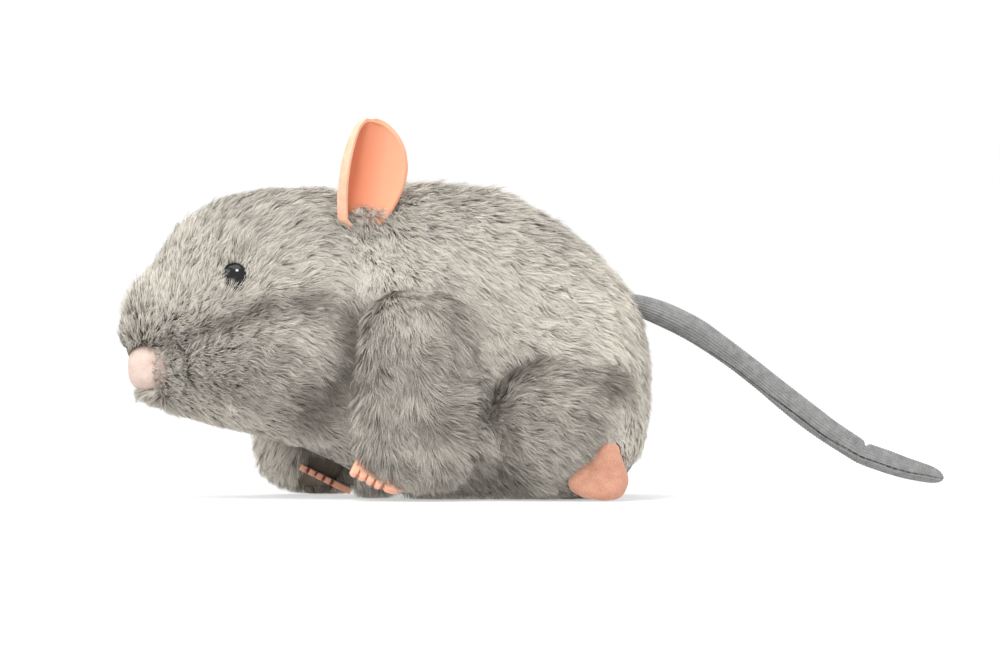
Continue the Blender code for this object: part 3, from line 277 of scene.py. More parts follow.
FUR_ROOT, FUR_MIDDLE, FUR_TIP = srgb(136, 127, 116), srgb(186, 179, 167), srgb(222, 217, 207)
# The dark and light ends of the strand tone carry painted light and shade as well as tone that differs at
# random.
PILE = pile_material("plush_pile", FUR_ROOT, FUR_MIDDLE, FUR_TIP, (0.40, 0.385, 0.37), (1.24, 1.24, 1.24))
BACKING = cloth_material("plush_backing", srgb(88, 80, 71), srgb(118, 109, 97), 1500.0, 0.08)
FIBREFILL = cloth_material("fibre_filling", srgb(214, 212, 206), srgb(240, 239, 236), 700.0, 0.4)
FELT = cloth_material("felt", srgb(224, 158, 128), srgb(236, 180, 151), 2600.0, 0.07, 0.92, 0.25)
# Painted shade: the ear's felt darkens from its open colour to the first one in the hollow behind the fold.
EAR_FELT = ear_material("ear_felt", srgb(206, 122, 88), srgb(230, 158, 124))
# Painted light: the folded front edge of the ear is paler felt where it faces the light.
EAR_EDGE_PAINTED_LIGHT = cloth_material("ear_edge_felt_painted_light", srgb(216, 160, 130), srgb(232, 184, 156), 2600.0, 0.07, 0.92, 0.25)
FELT_NAP = cloth_material("napped_felt", srgb(178, 124, 101), srgb(208, 156, 132), 1800.0, 0.16, 0.95, 0.3)
# Painted shadow: darker felt where the slits between the near paw's toes are shaded.
SLIT_SHADOW = cloth_material("painted_slit_shadow", srgb(176, 102, 76), srgb(192, 118, 90), 2400.0, 0.05)
RED_THREAD = cloth_material("red_thread", srgb(128, 44, 42), srgb(158, 62, 56), 2400.0, 0.05)
NOSE_KNIT = cloth_material("nose_knit", srgb(190, 166, 153), srgb(212, 193, 182), 2400.0, 0.08, 0.92)
TAIL_KNIT = cloth_material("tail_knit", srgb(112, 112, 112), srgb(152, 152, 151), 2600.0, 0.12, 0.92)
TAIL_THREAD = cloth_material("tail_thread", srgb(70, 70, 70), srgb(92, 92, 92), 3000.0, 0.03, 0.8)
EYE = hard_material("eye_black", srgb(14, 14, 16), srgb(22, 22, 25), 0.035, 0.0, 900.0, None, 0.001, 0.02)
EYE.node_tree.nodes["Principled BSDF"].inputs["Specular IOR Level"].default_value = 0.36
CHASSIS = hard_material("moulded_plastic", srgb(60, 61, 63), srgb(70, 71, 73), 0.42, 0.0, 1600.0, None, 0.02)
WHEEL_DARK, WHEEL_LIGHT = srgb(196, 196, 190), srgb(208, 208, 202)
WHEEL = hard_material("wheel_plastic", WHEEL_DARK, WHEEL_LIGHT, 0.38, 0.0, 1400.0, None, 0.015)
STEEL_DARK, STEEL_LIGHT = srgb(176, 178, 182), srgb(202, 204, 208)
STEEL = hard_material("steel", STEEL_DARK, STEEL_LIGHT, 0.3, 1.0, 900.0, (1, 1, 12), 0.01, 0.2)
BRASS_DARK, BRASS_LIGHT = srgb(196, 160, 88), srgb(222, 188, 116)
BRASS = hard_material("brass", BRASS_DARK, BRASS_LIGHT, 0.28, 1.0, 900.0, (1, 12, 1), 0.01, 0.18)
RUBBER = hard_material("rubber", srgb(32, 32, 33), srgb(44, 44, 45), 0.8, 0.0, 1200.0, None, 0.05)
HARD = {
    "eye_black": EYE,
    "chassis_plastic": CHASSIS,
    "wheel_plastic": WHEEL,
    "steel": STEEL,
    "brass": BRASS,
    "rubber": RUBBER,
}


# ---------------------------------------------------------------- meshes

def add_piece(name, mesh, materials, body, nodes=()):
    obj = bpy.data.objects.new(name, mesh)
    bpy.context.scene.collection.objects.link(obj)
    for material in materials:
        mesh.materials.append(material)
    if body:
        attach(obj, body)
    if nodes:
        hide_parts(*nodes)
    return obj


def mesh_of(name, points, faces, smooth=True):
    """A mesh from points in millimetres."""
    mesh = bpy.data.meshes.new(name)
    mesh.from_pydata((np.asarray(points, float).reshape(-1, 3) * MM).tolist(), [], faces)
    mesh.update()
    if smooth:
        mesh.polygons.foreach_set("use_smooth", [True] * len(mesh.polygons))
    return mesh


def grid_faces(rows, columns, closed=False, start=0):
    """Faces over a grid of points, row by row; closed joins the last column to the first."""
    faces = []
    for i in range(rows - 1):
        for j in range(columns if closed else columns - 1):
            k = (j + 1) % columns
            low, high = start + i * columns, start + (i + 1) * columns
            faces.append((low + j, low + k, high + k, high + j))
    return faces


def applied(obj):
    """The object with its modifiers made part of its mesh."""
    graph = bpy.context.evaluated_depsgraph_get()
    mesh = bpy.data.meshes.new_from_object(obj.evaluated_get(graph))
    obj.modifiers.clear()
    obj.data = mesh
    return obj


def thickened(obj, thickness, offset=-1.0):
    shell = obj.modifiers.new("thickness", "SOLIDIFY")
    shell.thickness = thickness * MM
    shell.offset = offset
    shell.use_even_offset = True
    return applied(obj)


def add_weld(obj):
    obj.modifiers.new("weld", "WELD").merge_threshold = 0.02 * MM


def add_bevel(obj, width, segments, degrees):
    """A rounding of the edges that are sharper than an angle."""
    bevel = obj.modifiers.new("bevel", "BEVEL")
    bevel.width = width * MM
    bevel.segments = segments
    bevel.angle_limit = math.radians(degrees)


BOX_CORNERS = np.array([(x, y, z) for x in (-1, 1) for y in (-1, 1) for z in (-1, 1)])
BOX_FACES = [(0, 1, 3, 2), (4, 6, 7, 5), (0, 4, 5, 1), (2, 3, 7, 6), (0, 2, 6, 4), (1, 5, 7, 3)]


def grid_normals(points):
    """Unit normals of a grid of points (rows, columns, 3)."""
    return unit(np.cross(np.gradient(points, axis=1), np.gradient(points, axis=0)))


MUZZLE_X, MUZZLE_ROOM = -126.0, 2.4     # where the filling draws in towards the muzzle, and by how much


def lumpy(node, body, depth, size):
    """A soft filling: the CAD solid with its surface drawn in unevenly, as teased fibre is."""
    mesh = NODES[node].data.copy()
    obj = add_piece(node + "_fibre", mesh, [], body, [node])
    mesh.materials.clear()
    mesh.materials.append(FIBREFILL)
    add_weld(obj)
    divide = obj.modifiers.new("divide", "SUBSURF")
    divide.subdivision_type = "SIMPLE"
    divide.levels = divide.render_levels = 1 if len(mesh.polygons) > 900 else 2
    applied(obj)
    mesh = obj.data
    points = np.empty(len(mesh.vertices) * 3)
    normals = np.empty(len(mesh.vertices) * 3)
    mesh.vertices.foreach_get("co", points)
    mesh.vertices.foreach_get("normal", normals)
    points, normals = points.reshape(-1, 3) / MM, normals.reshape(-1, 3)
    drawn_in = depth * (0.5 + 0.5 * waves(points, size, 5))
    drawn_in = drawn_in + MUZZLE_ROOM * fade(points[:, 0], MUZZLE_X, MUZZLE_X - 5)
    moved = points - normals * drawn_in[:, None]
    mesh.vertices.foreach_set("co", (moved * MM).ravel())
    mesh.polygons.foreach_set("use_smooth", [True] * len(mesh.polygons))
    mesh.update()
    return obj


# ---------------------------------------------------------------- pile

DENSITY = 7.2           # strands per square millimetre
MOST_STRANDS = 38000    # in one piece
STRAND_AT = np.array([0.0, 0.4, 0.76, 1.0])
STRAND_WIDTH = np.array([1.0, 0.85, 0.5])
STRAND_POINTS, STRAND_CORNERS, STRAND_FACES = 7, 11, 3
LOWEST_LINE, LOWEST_EDGE = 0.35, 0.3    # heights over the floor that a strand's middle and edges keep


def sample_grid(points, normals, count, rng):
    """Random places on a grid surface, spread by area, with their normals."""
    a, b = points[:-1, :-1], points[:-1, 1:]
    c, d = points[1:, 1:], points[1:, :-1]
    corners = np.stack([a, b, c, d], axis=2).reshape(-1, 4, 3)
    bent = np.stack([normals[:-1, :-1], normals[:-1, 1:], normals[1:, 1:], normals[1:, :-1]], axis=2)
    bent = bent.reshape(-1, 4, 3)
    area = np.linalg.norm(np.cross(corners[:, 2] - corners[:, 0], corners[:, 3] - corners[:, 1]), axis=1)
    chosen = rng.choice(len(corners), count, p=area / area.sum())
    u, v = rng.random(count), rng.random(count)
    weights = np.stack([(1 - u) * (1 - v), u * (1 - v), u * v, (1 - u) * v], axis=1)
    place = (corners[chosen] * weights[:, :, None]).sum(1)
    return place, unit((bent[chosen] * weights[:, :, None]).sum(1))


def grid_area(points):
    a, b = points[:-1, :-1], points[:-1, 1:]
    c, d = points[1:, 1:], points[1:, :-1]
    return float(np.linalg.norm(np.cross(c - a, d - b), axis=2).sum() / 2)


def nearest(points, centres):
    tree = KDTree(len(centres))
    for i, centre in enumerate(centres):
        tree.insert(centre, i)
    tree.balance()
    return np.array([tree.find(p)[1] for p in points])


def pile(name, roots, normals, comb, length, lift, tone, body, seed, width=0.21, clump=1.05, pull=0.27):
    """Strands of fur as tapering bent ribbons that lean the way they are combed and gather in tufts.

    length is in millimetres, lift in degrees from the surface, and tone from 0, dark, to 1.
    """
    rng = np.random.default_rng(seed)
    count = len(roots)
    per_clump = max(3.0, DENSITY * clump * clump)
    centres = rng.choice(count, max(1, int(count / per_clump)), replace=False)
    owner = nearest(roots, roots[centres])
    centre = centres[owner]
    tuft = len(centres)
    swing = rng.normal(0, 0.15, tuft)[owner] + rng.normal(0, 0.20, count) + 0.42 * waves(roots, 9.0, 31)
    rise = np.radians(lift) * (1 + rng.normal(0, 0.16, tuft)[owner] + rng.normal(0, 0.12, count))
    reach = length * (1 + rng.normal(0, 0.07, tuft)[owner] + rng.normal(0, 0.08, count))
    lean = unit(comb - normals * (comb * normals).sum(1, keepdims=True))
    lean = turned_by(lean, normals, swing)
    side = np.cross(normals, lean)
    curl = rng.normal(0, 0.07, count) * reach
    up, out = reach * np.sin(rise), reach * np.cos(rise)
    lines = []
    for t in STRAND_AT:
        height, run = 1 - (1 - t) ** 1.7, 0.45 * t + 0.55 * t**1.8
        lines.append(
            roots
            + normals * (up * height)[:, None]
            + lean * (out * run)[:, None]
            + side * (curl * t * t)[:, None]
        )
    lines = np.stack(lines, axis=1)
    gather = np.clip(pull * rng.uniform(0.4, 1.5, tuft)[owner], 0, 0.85)
    own = lines.copy()
    for k, t in enumerate(STRAND_AT):
        share = (gather * t**1.3)[:, None]
        lines[:, k] = own[:, k] * (1 - share) + own[centre, k] * share
    lines[:, :, 2] = np.maximum(lines[:, :, 2], LOWEST_LINE)
    roll = rng.normal(0, 0.45, count)
    across = turned_by(side, lean, roll)
    breadth = width * rng.uniform(0.7, 1.25, count)
    points = np.empty((count, STRAND_POINTS, 3))
    for k in range(3):
        half = across * (breadth * STRAND_WIDTH[k] / 2)[:, None]
        points[:, 2 * k] = lines[:, k] - half
        points[:, 2 * k + 1] = lines[:, k] + half
    points[:, -1] = lines[:, -1]
    points[:, :, 2] = np.maximum(points[:, :, 2], LOWEST_EDGE)
    facing = np.empty((count, STRAND_POINTS, 3))
    tangents = unit(np.gradient(lines, axis=1))
    tilt = side * rng.normal(0, 0.22, count)[:, None]
    for k in range(STRAND_POINTS):
        tangent = tangents[:, k // 2]
        upright = unit(normals - tangent * (tangent * normals).sum(1, keepdims=True))
        facing[:, k] = unit(0.6 * normals + 0.4 * upright + tilt)
    shade = np.clip(tone + rng.normal(0, 0.07, tuft)[owner] + rng.normal(0, 0.11, count), 0.01, 0.99)
    return strand_mesh(name, points, facing, shade, body)


def grow(name, values, body, seed, **options):
    """Pile in as many pieces as keep each under MOST_STRANDS, one behind the other."""
    order = np.argsort(values[0][:, 0], kind="stable")
    parts = np.array_split(order, math.ceil(len(order) / MOST_STRANDS))
    for number, part in enumerate(parts, 1):
        label = name if len(parts) == 1 else f"{name}_{number}"
        pile(label, *(v[part] for v in values), body, seed + number, **options)


def strand_mesh(name, points, facing, shade, body):
    """Ribbons of seven points each, lit by the normals in facing so that they look like one soft coat."""
    count = len(points)
    pattern = np.array([1, 0, 2, 3, 3, 2, 4, 5, 5, 4, 6])
    starts = np.array([0, 4, 8])
    mesh = bpy.data.meshes.new(name)
    mesh.vertices.add(count * STRAND_POINTS)
    mesh.loops.add(count * STRAND_CORNERS)
    mesh.polygons.add(count * STRAND_FACES)
    mesh.vertices.foreach_set("co", (points * MM).astype(np.float32).ravel())
    strand = np.arange(count)[:, None]
    corner = (strand * STRAND_POINTS + pattern).ravel()
    mesh.loops.foreach_set("vertex_index", corner.astype(np.int32))
    start = (strand * STRAND_CORNERS + starts).ravel()
    mesh.polygons.foreach_set("loop_start", start.astype(np.int32))
    mesh.polygons.foreach_set("use_smooth", np.ones(count * STRAND_FACES, bool))
    layer = mesh.uv_layers.new(name="OFBake")
    edge = np.array([-1, 1, -1, 1, -1, 1, 0]) * 0.004
    rise = np.broadcast_to(np.repeat(STRAND_AT, 2)[:STRAND_POINTS], (count, STRAND_POINTS))
    uv = np.stack([np.clip(shade[:, None] + edge, 0.0, 1.0), rise], axis=2)
    layer.data.foreach_set("uv", uv[:, pattern].astype(np.float32).ravel())
    mesh.update(calc_edges=True)
    mesh.validate()
    mesh.normals_split_custom_set_from_vertices(facing.reshape(-1, 3))
    return add_piece(name, mesh, [PILE], body)


# ---------------------------------------------------------------- body

STATIONS = np.array(
    [
        (-140.5, 47.0, 62.0, 5.0, 55.0),
        (-137.5, 38.5, 69.0, 8.0, 56.0),
        (-130.0, 33.5, 80.0, 12.0, 60.0),
        (-118.0, 29.5, 95.5, 19.5, 64.0),
        (-104.0, 26.0, 103.5, 26.5, 65.0),
        (-84.0, 21.0, 106.0, 31.5, 65.0),
        (-62.0, 10.5, 105.0, 31.0, 60.0),
        (-50.0, 5.0, 106.0, 32.0, 54.0),
        (-36.0, 2.2, 106.5, 34.0, 48.0),
        (-18.0, 2.0, 105.0, 36.0, 45.0),
        (2.0, 2.0, 96.0, 37.5, 42.0),
        (18.0, 3.6, 84.5, 36.5, 42.0),
        (28.0, 8.5, 74.0, 32.0, 42.0),
        (34.0, 15.0, 65.0, 25.0, 41.0),
        (37.5, 25.0, 54.0, 15.0, 40.0),
        (38.7, 36.0, 45.0, 5.0, 40.0),
    ]
)
BACK_SQUARENESS, BELLY_SQUARENESS = 2.2, 4.0
NECK_X, BELLY_EDGE, CHEEK_EDGE = -62.0, 130.0, 90.0
CHEEK_CREASE = [(-133, 52), (-124, 54.5), (-113, 58.5), (-94, 65.8), (-77, 68.6), (-65, 65.5)]
NECK_CREASE = [(-65, 65.5), (-62.5, 54), (-65, 44.5), (-72, 35.7), (-84, 27)]
HAUNCH_CREASE = [(1, 47), (-5, 45), (-12, 38), (-16, 30)]
RUMP_DIMPLE = (24.0, 41.0)
HAUNCH_CENTRE, HAUNCH_RADII = np.array([12.0, 38.0, 24.8]), np.array([26.0, 12.0, 23.0])
NOSE_CENTRE, NOSE_RADII = np.array([-131.0, 0.0, 45.5]), np.array([9.6, 12.0, 8.1])
NOSE_SQUARENESS = 2.8


def body_surface(x, angle):
    """Points of the body's surface, smooth along it; the angle runs from the top over the left side."""
    low, high, half_width, widest = (smooth_line(STATIONS[:, 0], STATIONS[:, k], x) for k in (1, 2, 3, 4))
    turn = np.radians(angle)
    up = np.cos(turn)
    power = np.where(up > 0, 2 / BACK_SQUARENESS, 2 / BELLY_SQUARENESS)
    y = -half_width * signed_power(np.sin(turn), power)
    z = widest + np.where(up > 0, high - widest, widest - low) * signed_power(up, power)
    return np.stack([x + 0 * y, y, z], axis=-1)


def flank(points):
    """How much of a point faces sideways, from 0 on the back to 1 on the flank."""
    half = smooth_line(STATIONS[:, 0], STATIONS[:, 3], points[:, 0])
    return np.clip((np.abs(points[:, 1]) / half - 0.35) / 0.5, 0, 1)


def crease(points):
    """How deep in a crease a point lies, from 0 to 1."""
    deep = np.exp(-((line_distance(points, CHEEK_CREASE) / 4.2) ** 2)) * (0.62 + 0.2 * waves(points, 9.0, 61))
    deep = np.maximum(deep, 0.85 * np.exp(-((line_distance(points, NECK_CREASE) / 6.5) ** 2)))
    deep = np.maximum(deep, np.exp(-((line_distance(points, HAUNCH_CREASE) / 5.0) ** 2)))
    spot = np.hypot(points[:, 0] - RUMP_DIMPLE[0], points[:, 2] - RUMP_DIMPLE[1])
    deep = np.maximum(deep, 0.8 * np.exp(-((spot / 6.0) ** 2)))
    return deep * flank(points)


def relief(points):
    """How far the stuffed skin stands out from the body's plain form."""
    x, z = points[:, 0], points[:, 2]
    cheek = 3.2 * hill(points, (-92, 47), (21, 15), 1.5)
    brow = 1.2 * hill(points, (-104, 88), (14, 10))
    shoulder = 1.6 * hill(points, (-44, 76), (14, 15))
    hollow = 2.2 * crease(points)
    seat = (np.abs(points[:, [0, 2]] - NOSE_CENTRE[[0, 2]]) / (NOSE_RADII[[0, 2]] + 0.8)) ** 5
    hollow = hollow + 1.6 * np.clip(1.8 * (1.0 - seat.sum(1)), 0, 1)
    around = np.hypot((x - HAUNCH_CENTRE[0]) / HAUNCH_RADII[0], (z - HAUNCH_CENTRE[2]) / HAUNCH_RADII[2])
    pocket = 1 - 0.9 * hill(points, (-7, 43), (9, 8))
    inside = fade(x, 34, 22) * fade(z, 6, 20)
    hip = 6.8 * np.exp(-((np.clip(around - 0.7, 0, 9) / 0.62) ** 2))
    hip = (hip + 4.5 * hill(points, (-19, 20), (7, 12))) * pocket * inside
    chin = 0.3 * np.exp(-(((x + 135) / 7) ** 2)) * fade(z, 42, 37)
    for side, centre in ((-1, (-39.0, 70.0)), (1, (-66.0, 68.0))):
        own = np.clip(side * points[:, 1] / 10, 0, 1)
        shoulder = shoulder + own * 4.0 * hill(points, centre, (17, 11), 1.5)
    relieved = (cheek + brow + shoulder + hip) * flank(points) + chin - hollow
    return relieved + 0.35 * waves(points, 17.0, 12)


def skin_grid(start, end, first, last, step=1.6):
    """A panel of the skin as a grid of points and normals."""
    rows = max(3, round((end - start) / step) + 1)
    low = STATIONS[0, 0]
    share = np.linspace(0, 1, rows)
    x = start + (end - start) * share
    if start <= low + 0.01:
        x = start + (end - start) * share**1.5
    if end >= STATIONS[-1, 0] - 0.01:
        x = end - (end - start) * (1 - share) ** 1.5
    columns = max(5, round((last - first) / 2.6) + 1)
    angle = np.linspace(first, last, columns)
    xs, angles = np.meshgrid(x, angle, indexing="ij")
    points = body_surface(xs.ravel(), angles.ravel()).reshape(rows, columns, 3)
    normals = grid_normals(points)
    out = relief(points.reshape(-1, 3)).reshape(rows, columns, 1)
    points = points + normals * out
    return points, grid_normals(points)


COMB = np.array(
    [
        # x and z of a place, and the way that the fur lies there
        (-140, 57, 0.1, 1.0), (-134, 36, -0.9, -0.5), (-138, 39, -0.9, -0.4), (-132, 72, 0.45, 0.8),
        (-120, 90, 0.7, 0.5), (-103, 88, 0.55, 0.8),
        (-108, 76, 0.5, 0.85), (-100, 71, 0.7, 0.6), (-85, 92, 0.75, 0.45), (-80, 76, 0.9, 0.2),
        (-66, 98, 0.45, -0.85), (-128, 60, 0.6, 0.6), (-118, 64, 0.8, 0.45), (-128, 46, 1.0, 0.1),
        (-120, 52, 1.0, 0.05), (-108, 46, 1.0, -0.2), (-95, 52, 1.0, -0.35), (-82, 56, 0.9, -0.5),
        (-92, 34, 1.0, -0.15), (-122, 36, 1.0, 0.1), (-70, 42, 0.8, -0.6), (-68, 58, 0.8, -0.6),
        (-84, 64, 1.0, -0.1), (-58, 90, 0.3, -0.95), (-50, 78, 0.45, -0.9), (-45, 60, 0.4, -0.9),
        (-30, 96, 0.75, -0.65), (-25, 76, 0.7, -0.7), (-5, 90, 0.85, -0.5), (-6, 70, 0.75, -0.65),
        (15, 76, 0.85, -0.5), (12, 56, 0.9, -0.45), (30, 60, 0.6, -0.8), (36, 40, 0.45, -0.9),
        (24, 28, 0.9, -0.45), (2, 36, 0.85, -0.55), (-12, 30, 0.6, -0.8), (-10, 10, 0.8, -0.5),
        (20, 10, 1.0, -0.2), (-40, 15, 1.0, -0.3), (-75, 18, 0.9, -0.3),
    ]
)


def combed(points, guides=COMB, softness=20.0):
    """The way that the fur lies, before it is laid along the surface."""
    total = np.zeros((len(points), 3))
    for x, z, dx, dz in guides:
        weight = 1 / (((points[:, 0] - x) ** 2 + (points[:, 2] - z) ** 2) + softness) ** 1.6
        total += weight[:, None] * np.array([dx, 0.0, dz])
    return unit(total)


EYE_AT = sum(box_mm("eye_left")) / 2
KEY_AT = sum(box_mm("key_eyelet")) / 2
NOSE_FLOOR = box_mm("nose")[0][2]
TRAY_LOW, TRAY_HIGH = box_mm("chassis_tray")


def near_eye(points):
    across = np.abs(points[:, 1])
    spot = np.array([EYE_AT[0], abs(EYE_AT[1]), EYE_AT[2]])
    return np.linalg.norm(np.stack([points[:, 0], across, points[:, 2]], axis=1) - spot, axis=1)


def nose_rear(z):
    """Where the fur begins behind the nose, at a height."""
    return -130.2 - 0.14 * (z - 38) - 3.0 * fade(z, 50, 54) ** 2


def body_fur_length(points):
    """Length and lift of the body's fur: short on the muzzle, long on the flanks."""
    x, z = points[:, 0], points[:, 2]
    along = np.interp(x, [-140, -128, -112, -90, -60, 0, 30, 38], [5.2, 5.8, 6.4, 6.8, 7.6, 7.8, 7.0, 5.6])
    along = along * np.interp(z, [0, 8, 25], [0.7, 0.85, 1.0])
    lift = np.interp(x, [-140, -125, -100, -60, 0, 38], [38, 35, 31, 30, 29, 30])
    fringe = fade(z, 12, 7) * fade(np.abs(points[:, 1]), 24, 27)
    before_motor = fade(x, -62.5, -59.5) * fade(x, -51, -54) * fade(z, 18, 13)
    fringe = np.maximum(fringe, before_motor)
    lift = lift * np.interp(z, [0, 6, 20], [0.35, 0.6, 1.0]) * (1 - fringe) + 68 * fringe
    along = along * (1 - fringe) + np.interp(x, [-70, -40, 0], [9.0, 7.5, 6.0]) * fringe
    at_ear = ((x + 58.5) / 8) ** 2 + ((np.abs(points[:, 1]) - 25) / 5) ** 2
    along = along * (1 - 0.55 * np.exp(-at_ear) * (z > 80))
    close = near_eye(points)
    under = np.clip((EYE_AT[2] - z + 0.8 * (EYE_AT[0] - x)) / 4, 0, 1)
    chin = fade(x, -80, -90) * fade(z, 42, 34)
    crown = fade(x, -60, -70) * fade(z, 88, 98) * fade(x, -132, -122)
    chest = fade(x, -88, -82) * fade(x, -61, -64) * fade(z, 26, 20)
    snout = fade(x, -133, -137) * fade(z, 52, 56)
    along = along * (1 - 0.28 * chin) * (1 - 0.1 * crown) * (1 + 0.15 * snout) * (1 - 0.5 * chest)
    lift = lift * (1 - 0.3 * chin) * (1 - 0.25 * crown) * (1 + 0.3 * snout) * (1 - 0.5 * chest)
    at_nose = np.exp(-(((x - nose_rear(z) - 0.8) / 1.5) ** 2)) * (np.abs(z - NOSE_CENTRE[2]) < 9.5)
    lift = lift + 26 * at_nose
    along = along * np.interp(close, [5.5, 9.0], [0.5, 1.0])
    along = along + 2.0 * under * np.interp(close, [5.0, 9.0], [1.0, 0.0])
    return along, lift


def mottled(points, size, seed):
    """Patches of darker and lighter pile, as pressed and raised fur has, from -1 to 1."""
    return 0.6 * waves(points, size, seed) + 0.4 * waves(points, size * 0.3, seed + 1)


def painted_light_and_shade(points):
    """Painted light and shade in the pile's tone: lighter where light falls on the back, muzzle and rump,
    darker where shade falls low down and on the neck, cheek and crown; the jaw is lighter too.
    """
    x, z = points[:, 0], points[:, 2]
    high = np.interp(z, [0, 30, 55, 75, 95], [-0.12, -0.12, 0.0, 0.10, -0.04])
    ends = np.interp(x, [-140, -122, -104], [0.24, 0.18, 0.0]) * fade(z, 50, 62)
    rump = np.interp(x, [16, 32], [0.0, 1.1])
    side = 0.14 * hill(points, (-24, 58), (26, 16))
    neck = -0.22 * hill(points, (-60, 60), (8, 14))
    cheek = -0.20 * hill(points, (-96, 48), (20, 13))
    jaw = 0.38 * fade(z, 36, 29) * fade(x, -76, -84)
    crown = -0.16 * fade(z, 86, 94) * fade(x, -62, -70) * fade(x, -124, -116)
    return high + ends + rump + side + neck + cheek + jaw + crown


def bare(points):
    """Where no fur grows: under the nose, the eyes, the key, the thighs and the motor's opening."""
    hidden = near_eye(points) < 5.0
    from_nose = np.abs(points[:, [0, 2]] - NOSE_CENTRE[[0, 2]]) / (NOSE_RADII[[0, 2]] + 0.1)
    under_nose = (from_nose**NOSE_SQUARENESS).sum(1) < 1
    under_nose &= (points[:, 0] < nose_rear(points[:, 2])) & (points[:, 2] > NOSE_FLOOR + 1.6)
    hidden |= under_nose
    thigh = np.stack([points[:, 0], np.abs(points[:, 1]), points[:, 2]], axis=1)
    at_thigh = (thigh - HAUNCH_CENTRE) / (HAUNCH_RADII * 0.93)
    hidden |= (at_thigh**2).sum(1) < 1
    key = np.hypot(points[:, 0] - KEY_AT[0], points[:, 2] - KEY_AT[2])
    hidden |= (key < 5.2) & (points[:, 1] > 20)
    tray = (points[:, 0] > TRAY_LOW[0] - 1) & (points[:, 0] < TRAY_HIGH[0] + 1)
    tray &= (np.abs(points[:, 1]) < TRAY_HIGH[1] + 1) & (points[:, 2] < 16)
    return hidden | tray


PANELS = {
    "head_fur_left": (STATIONS[0, 0], NECK_X, 0.0, CHEEK_EDGE),
    "head_fur_right": (STATIONS[0, 0], NECK_X, 360 - CHEEK_EDGE, 360.0),
    "jaw_fur": (STATIONS[0, 0], NECK_X, CHEEK_EDGE, 360 - CHEEK_EDGE),
    "back_fur_left": (NECK_X, STATIONS[-1, 0], 0.0, BELLY_EDGE),
    "back_fur_right": (NECK_X, STATIONS[-1, 0], 360 - BELLY_EDGE, 360.0),
    "belly_fur": (NECK_X, STATIONS[-1, 0], BELLY_EDGE, 360 - BELLY_EDGE),
}


def cutter_box(low, high):
    centre, half = (np.array(low) + np.array(high)) / 2, (np.array(high) - np.array(low)) / 2
    points = centre + BOX_CORNERS * half
    obj = bpy.data.objects.new("cutter", mesh_of("cutter", points, BOX_FACES, smooth=False))
    bpy.context.scene.collection.objects.link(obj)
    return obj


def cut(obj, cutter):
    modifier = obj.modifiers.new("cut", "BOOLEAN")
    modifier.object = cutter
    modifier.solver = "EXACT"
    applied(obj)
    bpy.data.objects.remove(cutter)
    return obj


TRAY_GAP, CLOTH = 0.35, 2.0     # between the belly's cloth and the tray, and the cloth's thickness


def body_panel(name, seed):
    """One sewn panel of the body: its backing, and the pile that grows on it."""
    points, normals = skin_grid(*PANELS[name])
    mesh = mesh_of(name + "_skin", points, grid_faces(*points.shape[:2]))
    skin = add_piece(name + "_skin", mesh, [BACKING], "body", [name])
    thickened(skin, CLOTH)
    if name == "belly_fur":
        low = (TRAY_LOW[0] - TRAY_GAP, TRAY_LOW[1] - TRAY_GAP, -6)
        high = (TRAY_HIGH[0] + TRAY_GAP, TRAY_HIGH[1] + TRAY_GAP, 12)
        cut(skin, cutter_box(low, high))
    rng = np.random.default_rng(seed)
    count = int(grid_area(points) * DENSITY)
    roots, out = sample_grid(points, normals, count, rng)
    kept = ~bare(roots)
    roots, out = roots[kept], out[kept]
    length, lift = body_fur_length(roots)
    deep = crease(roots)
    length = length * (1 - 0.25 * deep)
    # Painted light and shade in the tone: the body's painted light and shade, and painted shade that darkens
    # the pile in the creases.
    tone = 0.47 + 0.16 * mottled(roots, 22.0, 8) + painted_light_and_shade(roots) - 0.62 * deep
    grow(name + "_pile", (roots, out, combed(roots), length, lift, tone), "body", seed + 100)


for number, panel in enumerate(PANELS):
    body_panel(panel, 10 + number)


# ---------------------------------------------------------------- limbs

FORELEG_SECTIONS = np.array(
    [
        (-13.0, 5.5, 3.0), (-10.0, 10.5, 5.0), (-4.0, 14.5, 6.3), (6.0, 16.0, 7.0), (18.0, 16.8, 7.0),
        (30.0, 17.2, 7.0), (40.0, 16.8, 7.0), (48.0, 14.6, 6.2), (53.0, 9.5, 4.6), (55.0, 4.0, 2.6),
    ]
)
FORELEG_SQUARENESS = 2.6
SHOULDER = {"left": (-40.0, 60.0, 1.0), "right": (-69.0, 57.0, 11.0)}
FORELEG_Y = 43.6


def closed_loft(name, rings, materials, body, nodes):
    """A closed skin through rings of points, with a point at each end."""
    rows, columns = rings.shape[:2]
    points = np.concatenate([rings.reshape(-1, 3), rings[0].mean(0)[None], rings[-1].mean(0)[None]])
    faces = grid_faces(rows, columns, closed=True)
    first, last = rows * columns, rows * columns + 1
    for j in range(columns):
        k = (j + 1) % columns
        faces.append((first, k, j))
        faces.append((last, (rows - 1) * columns + j, (rows - 1) * columns + k))
    mesh = mesh_of(name, points, faces)
    middle = mesh.vertices[first].co
    outward = sum((face.center - middle).dot(face.normal) * face.area for face in mesh.polygons)
    if outward < 0:
        mesh.flip_normals()
    return add_piece(name, mesh, materials, body, nodes)


def ring_normals(rings):
    wide = np.concatenate([rings[:, -1:], rings, rings[:, :1]], axis=1)
    return grid_normals(wide)[:, 1:-1]


def closed_grid(values):
    return np.concatenate([values, values[:, :1]], axis=1)


FORELEG_COMB = np.array(
    [
        (-58, 60, 0.1, -1.0), (-40, 66, 0.4, -0.9), (-22, 62, 0.8, -0.6), (-58, 42, -0.05, -1.0),
        (-46, 46, 0.3, -0.95), (-34, 46, 0.65, -0.75), (-22, 44, 1.0, -0.1), (-56, 26, -0.15, -1.0),
        (-45, 28, 0.25, -1.0), (-35, 26, 0.7, -0.6), (-23, 26, 1.0, 0.05), (-50, 12, 0.05, -1.0),
        (-38, 11, 0.3, -0.9), (-25, 11, 0.8, -0.4),
    ]
)


